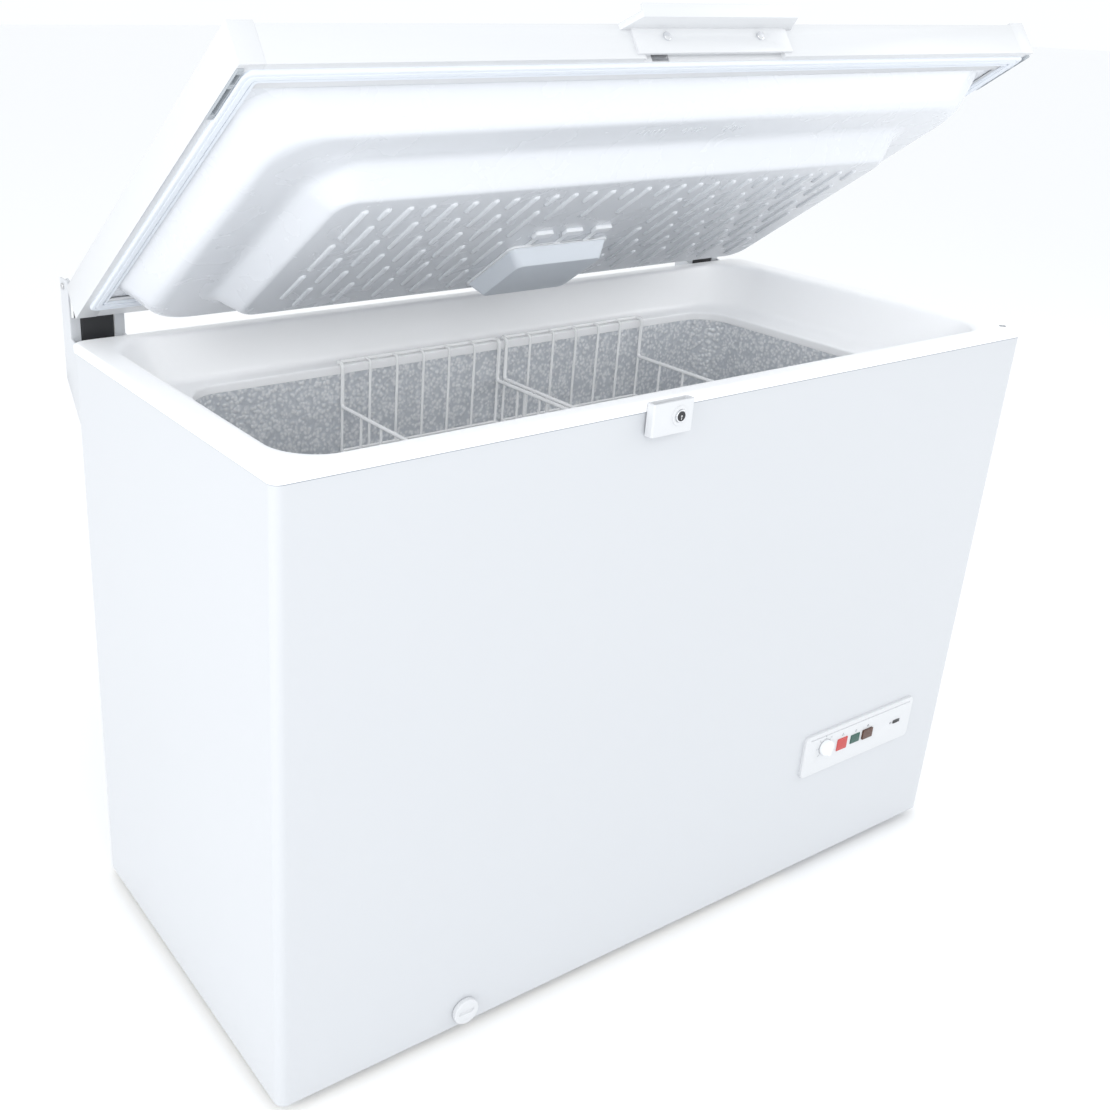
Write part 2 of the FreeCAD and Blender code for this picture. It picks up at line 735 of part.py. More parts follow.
def compressor():
    """Hermetic pot on its foot plate, with the two tube stubs."""
    body = new_body("pot")
    can = pad(body, "XY", pot_bottom, pot_bottom + d.pot_height, circle(pot_x, pot_y, d.pot_radius))
    doc.recompute()
    rims = [f"Edge{i}" for i, e in enumerate(can.Shape.Edges, start=1)
            if isinstance(e.Curve, Part.Circle)]
    round_off = body.newObject("PartDesign::Fillet", "pot_round")
    round_off.Base = (can, rims)
    round_off.setExpression("Radius", d.pot_round.text)
    body.Tip = round_off
    plate_x, plate_y = d.bolt_x + d.bolt_edge + 2, d.bolt_y + d.bolt_edge
    plate = box("pot_plate", pot_x - plate_x, pot_x + plate_x, pot_y - plate_y, pot_y + plate_y,
                plate_low, pot_bottom + 1)
    suction = rod("suction_stub", "X", pot_x - d.pot_radius - 12, pot_y, suction_out, 20, 5)
    discharge = rod("discharge_stub", "Y", pot_x, pot_y + d.pot_radius - 8, discharge_out, 20, 4)
    return node(fuse("pot_joined", body, plate, suction, discharge), "compressor")


def compressor_mounts():
    """Four rubber grommets under the foot plate, as one group."""
    grommets = [rod(f"grommet{i}{j}", "Z", pot_x + i * d.bolt_x, pot_y + j * d.bolt_y, base_top,
                    plate_low - base_top, d.grommet_radius) for i in (-1, 1) for j in (-1, 1)]
    return node(fuse("grommets", *grommets), "compressor_grommets")


def start_relay():
    body = new_body("relay")
    side = pot_x + d.pot_radius
    half = d.relay_size / 2
    low = pot_bottom + 40
    pad(body, "YZ", side + d.fit_gap, side + d.relay_deep,
        rounded(pot_y - half, pot_y + half, low, pot_bottom + 100, 5))
    pad(body, "XY", pot_bottom + 1, low + 1, rectangle(side + 1, side + 12, pot_y - 8, pot_y + 8))
    return node(body, "start_relay_box")


def filter_drier():
    """Copper canister between the condenser and the capillary, clipped to the bay roof."""
    canister = rod("drier_can", "Y", drier_x, drier_y, drier_z, d.drier_length, d.drier_radius)
    middle = drier_y + d.drier_length / 2
    strap = box("drier_strap", drier_x - 13, drier_x + 13, middle - 10, middle,
                drier_z + 4, d.bay_top)
    return node(fuse("drier", canister, strap), "filter_drier")


def bay_tubes():
    """Suction line in from the foam; discharge line up to the roof."""
    start_x = (pot_x - d.pot_radius - 12).value
    stub_z = suction_out.value
    stub_y = pot_y.value
    inlet = (bay_left - d.bay_gauge).value
    tube("suction_tube", [(inlet, suction_y.value, suction_z.value),
                          ((inlet + start_x) / 2, suction_y.value, suction_z.value),
                          ((inlet + start_x) / 2, stub_y, stub_z), (start_x, stub_y, stub_z)],
         suction_radius, 12)
    out_y = (pot_y + d.pot_radius + 12).value
    out_z = discharge_out.value
    end_x, end_y, end_z = drier_x.value, drier_y.value, drier_z.value
    tube("discharge_tube", [(pot_x.value, out_y, out_z), (pot_x.value, out_y + 14, out_z),
                            (end_x, out_y + 14, end_z), (end_x, end_y, end_z)],
         3, 5)


GRILLE_SLOTS = 9


def side_grille():
    """Slatted white cover over the bay's opening in the right side."""
    body = new_body("grille")
    y0, y1, z0, z1 = grille_window()
    frame, gap, border = d.grille_frame, d.fit_gap, d.grille_border
    pad(body, "YZ", half_w, half_w + d.rim_proud,
        rounded(y0 - frame, y1 + frame, z0 - frame, z1 + frame, frame - 2))
    pad(body, "YZ", half_w - d.grille_deep, half_w,
        rounded(y0 + gap, y1 - gap, z0 + gap, z1 - gap, 3))
    rise = (z1 - z0) / GRILLE_SLOTS
    for i in range(GRILLE_SLOTS):
        low = z0 + rise * i + d.slat * 0.7
        pocket(body, "YZ", half_w - d.grille_deep - 1, half_w + d.rim_proud + 1,
               rounded(y0 + border, y1 - border, low, low + rise - d.slat, 2))
    return node(body, "side_grille")


def cord_inlet():
    """Moulded gland in the back panel where the mains lead would pass; the lead isn't made."""
    flange = rod("gland_flange", "Y", gland_x, back_y - d.gauge, gland_z, 4, d.gland_radius)
    neck = rod("gland_neck", "Y", gland_x, back_y - d.gauge * 2 - 8, gland_z, d.gauge + 9,
               d.gland_neck)
    hole = rod("gland_hole", "Y", gland_x, back_y - 30, gland_z, 60, d.gland_bore)
    return node(cut("gland", fuse("gland_solid", flange, neck), hole), "cord_inlet_gland")


# --------------------------------------------------------------------------- front fittings

panel_left = half_w - d.panel_margin - d.panel_width
panel_low = d.panel_rise
panel_face = front_y - d.panel_proud
knob_x = panel_left + d.knob_across
knob_z = panel_low + d.knob_rise
lamp_z = panel_low + d.signal_rise
drain_x = -half_w + d.drain_margin
drain_y = front_y + 134
drain_outer = d.plug_stem + d.fit_gap + d.drain_wall

# from the panel's left end to the middle, width, height
SIGNALS = (("alarm_lamp", 79, 21, 19), ("power_lamp", 107, 19, 14), ("indicator_window", 198, 14, 5))
SWITCH_AT = (133, 21, 15)


def control_panel():
    body = new_body("panel")
    pad(body, "XZ", panel_face, front_y,
        rounded(panel_left, panel_left + d.panel_width, panel_low, panel_low + d.panel_height, 7))
    pocket(body, "XZ", panel_face, panel_face + 1.2,
           rounded(panel_left + 10, panel_left + d.panel_width - 6, panel_low + d.panel_height - 8,
                   panel_low + d.panel_height - 6.6, 0.6))
    for _, across, wide, high in SIGNALS:
        pocket(body, "XZ", panel_face - 1, front_y - 1, signal_outline(across, wide, high))
    across, wide, high = SWITCH_AT
    pocket(body, "XZ", panel_face - 1, front_y - 0.4, signal_outline(across, wide, high, d.fit_gap))
    pocket(body, "XZ", panel_face - 1, front_y + 1, circle(knob_x, knob_z, d.shaft_radius + 1))
    return node(body, "control_panel")


def signal_outline(across, wide, high, grow=0.0):
    x = panel_left + across
    return rounded(x - wide / 2 - grow, x + wide / 2 + grow, lamp_z - high / 2 - grow,
                   lamp_z + high / 2 + grow, min(wide, high) * 0.06)


def signals():
    for name, across, wide, high in SIGNALS:
        body = new_body(name + "_lens")
        pad(body, "XZ", panel_face - 1, front_y - 1, signal_outline(across, wide, high))
        node(body, name)


def fast_freeze_switch():
    body = new_body("switch")
    across, wide, high = SWITCH_AT
    pad(body, "XZ", panel_face - 2.2, front_y - 2.1, signal_outline(across, wide, high))
    return node(body, "fast_freeze_switch")


def thermostat_knob():
    """Round knob with a raised grip bar, and the hub that sits on the shaft."""
    body = new_body("knob")
    face = panel_face - d.fit_gap
    top, bar = face - d.knob_height, 4
    reach = d.knob_radius - 1.5
    pad(body, "XZ", top + bar, face, circle(knob_x, knob_z, d.knob_radius))
    pad(body, "XZ", top, top + bar,
        rounded(knob_x - 3, knob_x + 3, knob_z - reach, knob_z + reach, 2.9))
    pocket(body, "XZ", top + bar + 2, face + 1,
           circle(knob_x, knob_z, d.shaft_radius + d.fit_gap))
    return node(body, "thermostat_knob")


def thermostat_body():
    tip = panel_face - d.knob_height + 6
    shaft = rod("thermo_shaft", "Y", knob_x, tip, knob_z, front_y + 6 - tip, d.shaft_radius)
    case = box("thermo_case", knob_x - 18, knob_x + 18, front_y + d.gauge, front_y + d.gauge + 26,
               knob_z - 16, knob_z + 16)
    return node(fuse("thermo", shaft, case), "thermostat_body")


def drain_plug():
    """Push-in cap with a finger groove and a hollow stem."""
    body = new_body("plug")
    face = front_y - d.plug_thick
    pad(body, "XZ", face, front_y - 0.3, circle(drain_x, d.drain_rise, d.plug_radius))
    pad(body, "XZ", front_y - 0.3, front_y - 0.3 + d.plug_reach,
        circle(drain_x, d.drain_rise, d.plug_stem))
    pocket(body, "XZ", face, face + 2.5,
           rounded(drain_x - 11, drain_x + 11, d.drain_rise - 2.5, d.drain_rise + 2.5, 2.4))
    return node(body, "drain_plug")


def drain_elbow(radius):
    """Solid elbow from the liner floor out through the front."""
    rise, outer = d.drain_rise.value, drain_outer.value
    path = [(drain_x.value, front_y.value, rise), (drain_x.value, drain_y.value, rise),
            (drain_x.value, drain_y.value, (d.liner_floor - d.liner_gauge).value)]
    return pipe(path, radius, outer * 1.6)


def drain_tube():
    outer = drain_elbow(drain_outer.value)
    feature = doc.addObject("Part::Feature", "drain")
    feature.Shape = outer.cut(drain_elbow((drain_outer - d.drain_wall).value))
    channel = doc.addObject("Part::Feature", "drain_channel")
    channel.Shape = outer
    return node(feature, "drain_tube"), channel


lock_x = -d.lock_offset
lock_z = d.shell_top - 6
lock_right = lock_x + 21
lock_left = lock_right - d.lock_width
lock_low = d.shell_top - 26
lock_seat = front_y - d.rim_proud
lock_face = lock_seat - d.lock_deep


def lock_bracket():
    """Moulded box on the front of the rim, open at the top for the hook."""
    body = new_body("lock_box")
    top = lock_low + d.lock_height
    pad(body, "XY", lock_low, top, rounded(lock_left, lock_right, lock_face, lock_seat, 2.5))
    pocket(body, "XY", lock_low + 3, top + 1,
           rectangle(lock_left + 3, lock_right - 3, lock_face + 3, lock_seat - 1))
    pad(body, "XZ", lock_face - d.barrel_proud / 2, lock_face,
        circle(lock_x, lock_z, d.barrel_radius + 4))
    pocket(body, "XZ", lock_face - 3, lock_face + 4,
           circle(lock_x, lock_z, d.barrel_radius + d.fit_gap))
    return node(body, "lock_bracket")


hook_front = lid_face + 3.5
hook_back = hook_front + 2.5


def lock_barrel():
    body = new_body("barrel")
    front = lock_face - d.barrel_proud
    pad(body, "XZ", front, hook_front, circle(lock_x, lock_z, d.barrel_radius))
    pocket(body, "XZ", front - 1, front + 6, rectangle(lock_x - 0.8, lock_x + 0.8, lock_z - 4, lock_z + 3))
    return node(body, "lock_barrel")


def lock_hook():
    """Cam with a hooked end: lies flat when unlocked, stands up into the lid when locked."""
    body = new_body("hook")
    tip = lock_x - d.hook_reach
    pad(body, "XZ", hook_front, hook_back, polygon([
        (lock_x + 6, lock_z - 5), (lock_x + 6, lock_z + 5), (tip + 5, lock_z + 3),
        (tip + 5, lock_z + 8), (tip, lock_z + 8), (tip, lock_z - 4)]))
    return node(body, "lock_hook")


# --------------------------------------------------------------------------- lid

def rail(name, plane, low, high, outline):
    body = new_body(name)
    pad(body, plane, low, high, outline)
    return body


def front_rail():
    """Front rail of the lid, with the finger recess and the hook's slot in its solid toe."""
    wall = d.frame_wall
    body = rail("rail_front", "YZ", -rail_side, rail_side, polygon([
        (lid_face, lid_bottom), (rail_front, lid_bottom), (rail_front, frame_floor),
        (lid_face + d.toe_deep, frame_floor), (lid_face + d.toe_deep, lid_bottom + d.toe_high),
        (lid_face + wall, lid_bottom + d.toe_high), (lid_face + wall, roof_z),
        (lid_face + d.lid_lip, roof_z), (lid_face + d.lid_lip, lid_top), (lid_face, lid_top)]))
    reach = d.handle_half - d.recess_end
    pocket(body, "XZ", lid_face - 1, lid_face + 6,
           rectangle(-reach, reach, lid_bottom - 1, lid_bottom + d.recess_high))
    pocket(body, "XZ", lid_face + 2.5, lid_face + 8,
           rectangle(lock_x - 12, lock_x + 12, lid_bottom - 1, lid_bottom + 12))
    for side in (-1, 1):
        pocket(body, "XZ", lid_face - 1, lid_face + wall + 1,
               circle(side * d.screw_offset, screw_z, screw_shank))
    return node(body, "lid_front_rail", LID)


def back_rail():
    wall = d.frame_wall
    body = rail("rail_back", "YZ", -rail_side, rail_side, polygon([
        (rail_back, lid_bottom), (lid_rear, lid_bottom), (lid_rear, lid_top),
        (lid_rear - d.lid_lip, lid_top), (lid_rear - d.lid_lip, roof_z), (lid_rear - wall, roof_z),
        (lid_rear - wall, frame_floor), (rail_back, frame_floor)]))
    return node(body, "lid_back_rail", LID)


def side_rail(sign, name):
    """Side rail with closed ends; it stands a little proud of the lid's top."""
    wall = d.frame_wall
    out, inn = sign * lid_side, sign * rail_side
    low, high = (out, inn) if sign < 0 else (inn, out)
    top = lid_top + d.cap_proud
    body = rail("rail_" + name, "XZ", lid_face, lid_rear, polygon([
        (out, lid_bottom), (inn, lid_bottom), (inn, frame_floor), (out - sign * wall, frame_floor),
        (out - sign * wall, lid_top), (inn, lid_top), (inn, top), (out, top)]))
    for near, far in ((lid_face, lid_face + wall), (lid_rear - wall, lid_rear)):
        pad(body, "XZ", near, far, rectangle(low, high, lid_bottom, top))
    clip_out, clip_in = clip_range(sign)
    pocket(body, "XY", lid_bottom - 1, frame_floor + 1.5,
           rectangle(clip_out, clip_in, lid_face + 6, lid_face + 6 + d.clip_length))
    return node(body, f"lid_{name}_rail", LID)


def clip_range(sign):
    outer = sign * (lid_side - 0.6)
    inner = sign * (lid_side - 0.6 - d.clip_width)
    return (outer, inner) if sign < 0 else (inner, outer)


def lid_clip(sign, name):
    """Grey buffer under the front of a side rail, with two square pockets."""
    body = new_body("clip_" + name)
    low, high = clip_range(sign)
    start = lid_face + 6
    pad(body, "XY", lid_bottom - 2.4, frame_floor + 1.5,
        rectangle(low, high, start, start + d.clip_length))
    for first, last in ((6, 22), (28, 70)):
        pocket(body, "XY", lid_bottom - 3, frame_floor,
               rectangle(low + 1, high - 1, start + first, start + last))
    return node(body, f"lid_clip_{name}", LID)


def tier_outline(stage, grow=0.0):
    """Outlines of the lid liner from the frame down: 0 mouth, 1 and 2 the flat, 3 the plateau."""
    side = rail_side
    front, back = rail_front, rail_back
    radius = d.plug_round
    if stage >= 1:
        side = side - d.tier_one_side
        front, back = front + d.tier_one_front, back - d.tier_one_back
        radius = d.tier_one_round
    if stage >= 2:
        side = side - d.flat_side
        front, back = front + d.flat_front, back - d.flat_back
        radius = d.tier_one_round
    if stage >= 3:
        side = side - d.tier_two_lean
        front, back = front + d.tier_two_lean, back - d.tier_two_lean
        radius = d.tier_two_round
    return rounded(-side - grow, side + grow, front - grow, back + grow, radius)


flat_z = lid_bottom - d.tier_one
plateau_z = flat_z - d.tier_two
flange_z = frame_floor + d.door_wall


def lid_liner():
    """Vacuum-formed white liner: two steps and a plateau with short raised ribs in brick order."""
    body = new_body("door_liner")
    t = d.door_wall
    lap = 8
    pad(body, "XY", frame_floor, flange_z,
        rectangle(-rail_side - lap, rail_side + lap, rail_front - lap, rail_back + lap))
    loft(body, "Additive", frame_floor, tier_outline(0), flat_z, tier_outline(1))
    loft(body, "Additive", flat_z, tier_outline(2), plateau_z, tier_outline(3))
    loft(body, "Subtractive", flange_z, tier_outline(0, -1.0 * t), flat_z + t, tier_outline(1, -1.0 * t))
    loft(body, "Subtractive", flat_z + t, tier_outline(2, -1.0 * t), plateau_z + t,
         tier_outline(3, -1.0 * t))
    doc.recompute()
    ribs = doc.addObject("Part::Feature", "door_ribs")
    ribs.Shape = Part.makeCompound(rib_blocks())
    return node(fuse("door_liner_ribbed", body, ribs), "lid_liner", LID)


def plateau_edges():
    side = rail_side - d.tier_one_side - d.flat_side - d.tier_two_lean
    front = rail_front + d.tier_one_front + d.flat_front + d.tier_two_lean
    back = rail_back - d.tier_one_back - d.flat_back - d.tier_two_lean
    return side.value, front.value, back.value


def rib_blocks():
    side, front, back = plateau_edges()
    pitch, wide = d.rib_pitch.value, d.rib_width.value
    run, space, rise = d.rib_run.value, d.rib_space.value, d.rib_rise.value
    columns = int((2 * side - 60) // pitch)
    lamp_left, lamp_right, lamp_near, lamp_far = lamp_area()
    blocks = []
    for i in range(columns + 1):
        x = -columns * pitch / 2 + i * pitch
        start = front + 20 - (run / 2 if i % 2 else 0)
        while start < back - 40:
            near, far = max(start, front + 20), min(start + run - space, back - 16)
            clear = x < lamp_left - 12 or x > lamp_right + 12 or far < lamp_near - 50
            if far - near > 25 and clear:
                blocks.append(rib(x, near, far, wide, rise))
            start += run
    return blocks


def rib(x, near, far, wide, rise):
    """A round-ended bar that stands out below the plateau."""
    half = wide / 2
    z = plateau_z.value + 0.8
    a, b = near + half, far - half
    edges = [Part.LineSegment(Vector(x - half, b, z), Vector(x - half, a, z)).toShape(),
             Part.Arc(Vector(x - half, a, z), Vector(x, near, z), Vector(x + half, a, z)).toShape(),
             Part.LineSegment(Vector(x + half, a, z), Vector(x + half, b, z)).toShape(),
             Part.Arc(Vector(x + half, b, z), Vector(x, far, z), Vector(x - half, b, z)).toShape()]
    return Part.Face(Part.Wire(edges)).extrude(Vector(0, 0, -rise - 0.8))


def lid_foam():
    body = new_body("door_foam")
    t = d.door_wall
    side = lid_side - d.frame_wall
    back = lid_rear - d.frame_wall
    pad(body, "XY", flange_z, lid_bottom + d.toe_high,
        rectangle(-side, side, lid_face + d.toe_deep, back))
    pad(body, "XY", lid_bottom + d.toe_high, roof_z,
        rectangle(-side, side, lid_face + d.frame_wall, back))
    pad(body, "XY", roof_z, lid_top - d.gauge,
        rectangle(-side, side, lid_face + d.lid_lip, lid_rear - d.lid_lip))
    loft(body, "Additive", flange_z, tier_outline(0, -1.0 * t), flat_z + t, tier_outline(1, -1.0 * t))
    loft(body, "Additive", flat_z + t, tier_outline(2, -1.0 * t), plateau_z + t,
         tier_outline(3, -1.0 * t))
    return node(body, "lid_foam", LID)


def lid_top_sheet():
    body = new_body("door_skin")
    pad(body, "XY", lid_top - d.gauge, lid_top,
        rectangle(-rail_side, rail_side, lid_face + d.lid_lip, lid_rear - d.lid_lip))
    return node(body, "lid_top_sheet", LID)


def lid_gasket():
    """Soft seal under the lid's frame: a wide bead and a thin inner lip on one strip."""
    body = new_body("seal")
    out_side = lid_side - 8
    out_front = lid_face + d.seal_inset
    out_back = back_y - 2

    def ring(inset, corner):
        return rounded(-out_side + inset, out_side - inset, out_front + inset, out_back - inset, corner)

    web = d.seal_width + 1 + d.seal_lip
    pad(body, "XY", lid_bottom - d.seal_height, lid_bottom, ring(0, 10))
    pocket(body, "XY", lid_bottom - d.seal_height - 1, lid_bottom - 1, ring(d.seal_width, 6))
    pad(body, "XY", lid_bottom - d.seal_height + 1, lid_bottom - 0.5, ring(d.seal_width + 1, 5))
    pocket(body, "XY", lid_bottom - d.seal_height - 1, lid_bottom + 1, ring(web, 4))
    return node(body, "lid_gasket", LID)


screw_z = lid_bottom + 22
screw_shank = 2.1


def lid_handle():
    """Scoop handle: a plate on the front rail, a level floor with flared ends, a leaning lip."""
    wall, half = d.handle_wall, d.handle_half
    body = new_body("grip")
    wide = half + d.handle_flare
    floor = lid_top - d.handle_floor
    reach = lid_face - d.handle_reach
    foot = reach + d.handle_lean
    top = lid_top + d.handle_rise
    pad(body, "XZ", lid_face - wall, lid_face,
        rectangle(-half, half, lid_bottom + d.handle_low, floor + wall))
    pad(body, "XY", floor, floor + wall, polygon([
        (-half, foot), (half, foot), (wide, lid_face), (-wide, lid_face)]))
    for side in (-1, 1):
        pad(body, "XY", floor, lid_top, polygon([
            (side * half, foot), (side * (half - wall), foot),
            (side * (wide - wall), lid_face), (side * wide, lid_face)]))
    pad(body, "YZ", -half, half, polygon([
        (foot, floor), (foot + wall, floor), (reach + wall, top), (reach, top)]))
    for side in (-1, 1):
        pocket(body, "XZ", lid_face - wall - 1, lid_face + 1,
               circle(side * d.screw_offset, screw_z, screw_shank))
    return node(body, "lid_handle", LID)


def handle_screws():
    pieces = []
    for side in (-1, 1):
        x = side * d.screw_offset
        seat = lid_face - d.handle_wall
        pieces.append(rod(f"head{side}", "Y", x, seat - 2.2, screw_z, 2.2, 4.6))
        pieces.append(rod(f"shank{side}", "Y", x, seat, screw_z, d.handle_wall + d.frame_wall,
                          screw_shank - 0.1))
    return node(fuse("screws", *pieces), "handle_screws", LID)


def lock_striker():
    """Steel plate behind the hook's slot."""
    body = new_body("striker")
    pad(body, "XZ", lid_face + 8 - 1.5, lid_face + 8,
        rectangle(lock_x - 12, lock_x + 12, lid_bottom + 1, lid_bottom + 12))
    return node(body, "lock_striker", LID)


# --------------------------------------------------------------------------- lamp in the lid

def lamp_area():
    left = (-d.lamp_shift - d.lamp_width / 2).value
    near = (lid_face + d.lamp_start).value
    return left, left + d.lamp_width.value, near, near + d.lamp_length.value


lamp_left = -d.lamp_shift - d.lamp_width / 2
lamp_right = -d.lamp_shift + d.lamp_width / 2
lamp_near = lid_face + d.lamp_start
lamp_far = lamp_near + d.lamp_length


def lamp_base():
    """Tray on the plateau, with three locking tabs in front of it."""
    body = new_body("lamp_tray")
    top = plateau_z
    pad(body, "XY", top - 3, top, rounded(lamp_left, lamp_right, lamp_near, lamp_far, 10))
    for i in range(3):
        x = lamp_left + 12 + i * 46
        pad(body, "XY", top - 5, top, rounded(x, x + 26, lamp_near - 38, lamp_near - 26, 2))
        pad(body, "XY", top - 1.6, top, rectangle(x + 9, x + 17, lamp_near - 27, lamp_near + 1))
    doc.recompute()
    socket = rod("socket", "X", lamp_left + 14, lamp_near + 50, top - 11, 22, 7)
    post = box("socket_post", lamp_left + 14, lamp_left + 36, lamp_near + 43, lamp_near + 57, top - 11, top)
    return node(fuse("lamp_tray_socket", body, socket, post), "lamp_base", LID)


def lamp_cover():
    """Translucent tray cover, open towards its base."""
    body = new_body("lamp_lens")
    top = plateau_z - 3
    low = top - d.lamp_depth
    wall = 1.6

    def outline(inset, corner=9.0):
        return rounded(lamp_left + inset, lamp_right - inset, lamp_near + inset, lamp_far - inset, corner)

    loft(body, "Additive", top, outline(2), low, outline(12))
    loft(body, "Subtractive", top, outline(2 + wall), low + wall, outline(12 + wall))
    return node(body, "lamp_cover", LID)


def lamp_bulb():
    body = new_body("bulb")
    z = plateau_z - 11
    start = lamp_left + 36
    y = lamp_near + 50
    pad(body, "YZ", start, start + 10, circle(y, z, 5))
    pad(body, "YZ", start + 10, start + 50, circle(y, z, 7.5))
    return node(body, "lamp_bulb", LID)


# --------------------------------------------------------------------------- hinges

def hinge(sign, name):
    """One counterbalanced hinge: sheet bracket, black cover, pin, spring and the lid's leaf."""
    edge = half_w - d.hinge_inset
    outer, inner = sign * edge, sign * (edge - d.hinge_width)
    low, high = (outer, inner) if sign < 0 else (inner, outer)
    seat = back_y
    cheek = d.cheek
    back = pin_y + d.knuckle
    lift = lid_rear + 7
    low_z = d.shell_top - d.hinge_drop

    bracket = new_body("bracket_" + name)
    side_view = polygon([
        (seat, low_z), (seat + 24, low_z + 30), (back, low_z + 75),
        (back, pin_z + 9), (lift, pin_z + 9), (lift, d.shell_top + 6), (seat + 3, d.shell_top - 1),
        (seat, d.shell_top - 1)])
    for start in (low, high - cheek):
        pad(bracket, "YZ", start, start + cheek, side_view)
    pad(bracket, "XZ", seat, seat + cheek, rectangle(low, high, low_z, d.shell_top - 1))
    for start in (low, high - d.shelf):
        pad(bracket, "XZ", lift, lift + cheek,
            rectangle(start, start + d.shelf, d.shell_top - 20, d.shell_top + 31))
    pocket(bracket, "YZ", low - 1, high + 1, circle(pin_y, pin_z, d.pin_radius))
    node(bracket, f"hinge_{name}_bracket")

    cover = new_body("cover_" + name)
    pad(cover, "XY", d.shell_top - 60, pin_z - 14,
        rounded(low + d.shelf, high - d.shelf, lift + 0.3, back - 1, 3))
    node(cover, f"hinge_{name}_cover")

    pin = rod("pin_" + name, "X", low - 2, pin_y, pin_z, d.hinge_width + 4, d.pin_radius)
    node(pin, f"hinge_{name}_pin")

    coil_low, coil_high = low + 22, high - 22
    shaft_gap = d.pin_radius + d.fit_gap
    coil = new_body("coil_" + name)
    pad(coil, "YZ", coil_low, coil_high, circle(pin_y, pin_z, d.pin_radius + 4.5))
    pocket(coil, "YZ", coil_low - 1, coil_high + 1, circle(pin_y, pin_z, shaft_gap))
    node(coil, f"hinge_{name}_spring")

    leaf = new_body("leaf_" + name)
    leaf_low, leaf_high = low + cheek + 1.5, high - cheek - 1.5
    arm = polygon([(lid_rear, lid_top - 2), (lid_rear, lid_bottom + 20), (pin_y - 3, pin_z - 8),
                   (pin_y + 7, pin_z - 7), (pin_y + 7, pin_z + 7), (pin_y - 7, pin_z + 7)])
    for start in (leaf_low, leaf_high - cheek):
        pad(leaf, "YZ", start, start + cheek, arm)
    pad(leaf, "XZ", lid_rear, lid_rear + cheek,
        rectangle(leaf_low, leaf_high, lid_bottom + 3, lid_top - 2))
    pocket(leaf, "YZ", leaf_low - 1, leaf_high + 1, circle(pin_y, pin_z, shaft_gap))
    node(leaf, f"hinge_{name}_leaf", LID)


# --------------------------------------------------------------------------- baskets

BASKET_ROWS = 8


def basket(name, left):
    """White wire basket that hangs by its rails on the front and back ledges."""
    rail_r, wire_r = d.rail_radius.value, d.wire_radius.value
    x0, x1 = left.value, (left + d.basket_length).value
    hang_z = (ledge_z + d.fit_gap + d.rail_radius).value
    rail_y0 = (mouth_front - 7).value
    rail_y1 = (mouth_back + 7).value
    y0 = (mouth_front + d.basket_clear).value
    y1 = (mouth_back - d.basket_clear).value
    dip_z = hang_z - d.basket_dip.value
    floor_z = hang_z - d.basket_deep.value
    rim = [((x0 + x1) / 2, rail_y0, hang_z), (x0, rail_y0, hang_z), (x0, y0, hang_z),
           (x0, y0, dip_z), (x0, y1, dip_z), (x0, y1, hang_z), (x0, rail_y1, hang_z),
           (x1, rail_y1, hang_z), (x1, y1, hang_z), (x1, y1, dip_z), (x1, y0, dip_z),
           (x1, y0, hang_z), (x1, rail_y0, hang_z)]
    wires = [pipe(rim, rail_r, 5, closed=True)]
    count = int(round((x1 - x0) / d.wire_pitch.value))
    for i in range(1, count):
        x = x0 + (x1 - x0) * i / count
        wires.append(pipe([(x, rail_y0, hang_z), (x, y0, hang_z), (x, y0, floor_z),
                           (x, y1, floor_z), (x, y1, hang_z), (x, rail_y1, hang_z)], wire_r, 5))
    for i in range(1, BASKET_ROWS):
        y = y0 + (y1 - y0) * i / BASKET_ROWS
        low = floor_z + wire_r * 1.6
        wires.append(pipe([(x0, y, dip_z), (x0, y, low), (x1, y, low), (x1, y, dip_z)], wire_r, 5))
    for z in (dip_z - d.belt_one.value, dip_z - d.belt_two.value):
        belt = [((x0 + x1) / 2, y0, z), (x0, y0, z), (x0, y1, z), (x1, y1, z), (x1, y0, z)]
        wires.append(pipe(belt, wire_r, 5, closed=True))
    for x in (x0, x1):
        for y in (y0, y1):
            wires.append(pipe([(x, y, dip_z), (x, y, floor_z + d.corner_post.value)], wire_r, 5))
    whole = wires[0].multiFuse(wires[1:])
    feature = doc.addObject("Part::Feature", name)
    feature.Shape = whole
    return node(feature, name)


# --------------------------------------------------------------------------- assembly

outer_wrap()
back_panel()
base_tray()
feet()
rim_frame()
inner_liner()
cold = evaporator_tube()
warm = condenser_tube()
_, drain_channel = drain_tube()
foam_insulation(cold, warm, drain_channel)
bay_lining()
compressor()
compressor_mounts()
start_relay()
filter_drier()
bay_tubes()
side_grille()
cord_inlet()
control_panel()
signals()
fast_freeze_switch()
thermostat_knob()
thermostat_body()
drain_plug()
lock_bracket()
lock_barrel()
lock_hook()
front_rail()
back_rail()
for sign, side in ((-1, "left"), (1, "right")):
    side_rail(sign, side)
    lid_clip(sign, side)
    hinge(sign, side)
lid_liner()
lid_foam()
lid_top_sheet()
lid_gasket()
lid_handle()
handle_screws()
lock_striker()
lamp_base()
lamp_cover()
lamp_bulb()
basket_left = -d.basket_shift
basket("basket_left", basket_left)
basket("basket_right", basket_left + d.basket_length + d.basket_gap)

doc.recompute()

failed = [o.Name for o in doc.Objects if "Invalid" in o.State or "Error" in o.State]
if failed:
    raise RuntimeError(f"failed features: {failed}")
for part in nodes:
    if part.Shape.isNull() or not part.Shape.isValid():
        raise RuntimeError(f"{part.Label} has no valid shape")
    if not part.Shape.Solids:
        raise RuntimeError(f"{part.Label} has no solid")

os.makedirs("parts", exist_ok=True)
for part in nodes:
    part.Shape.exportStep(f"parts/{part.Label}.step")
print(f"{len(nodes)} parts written")
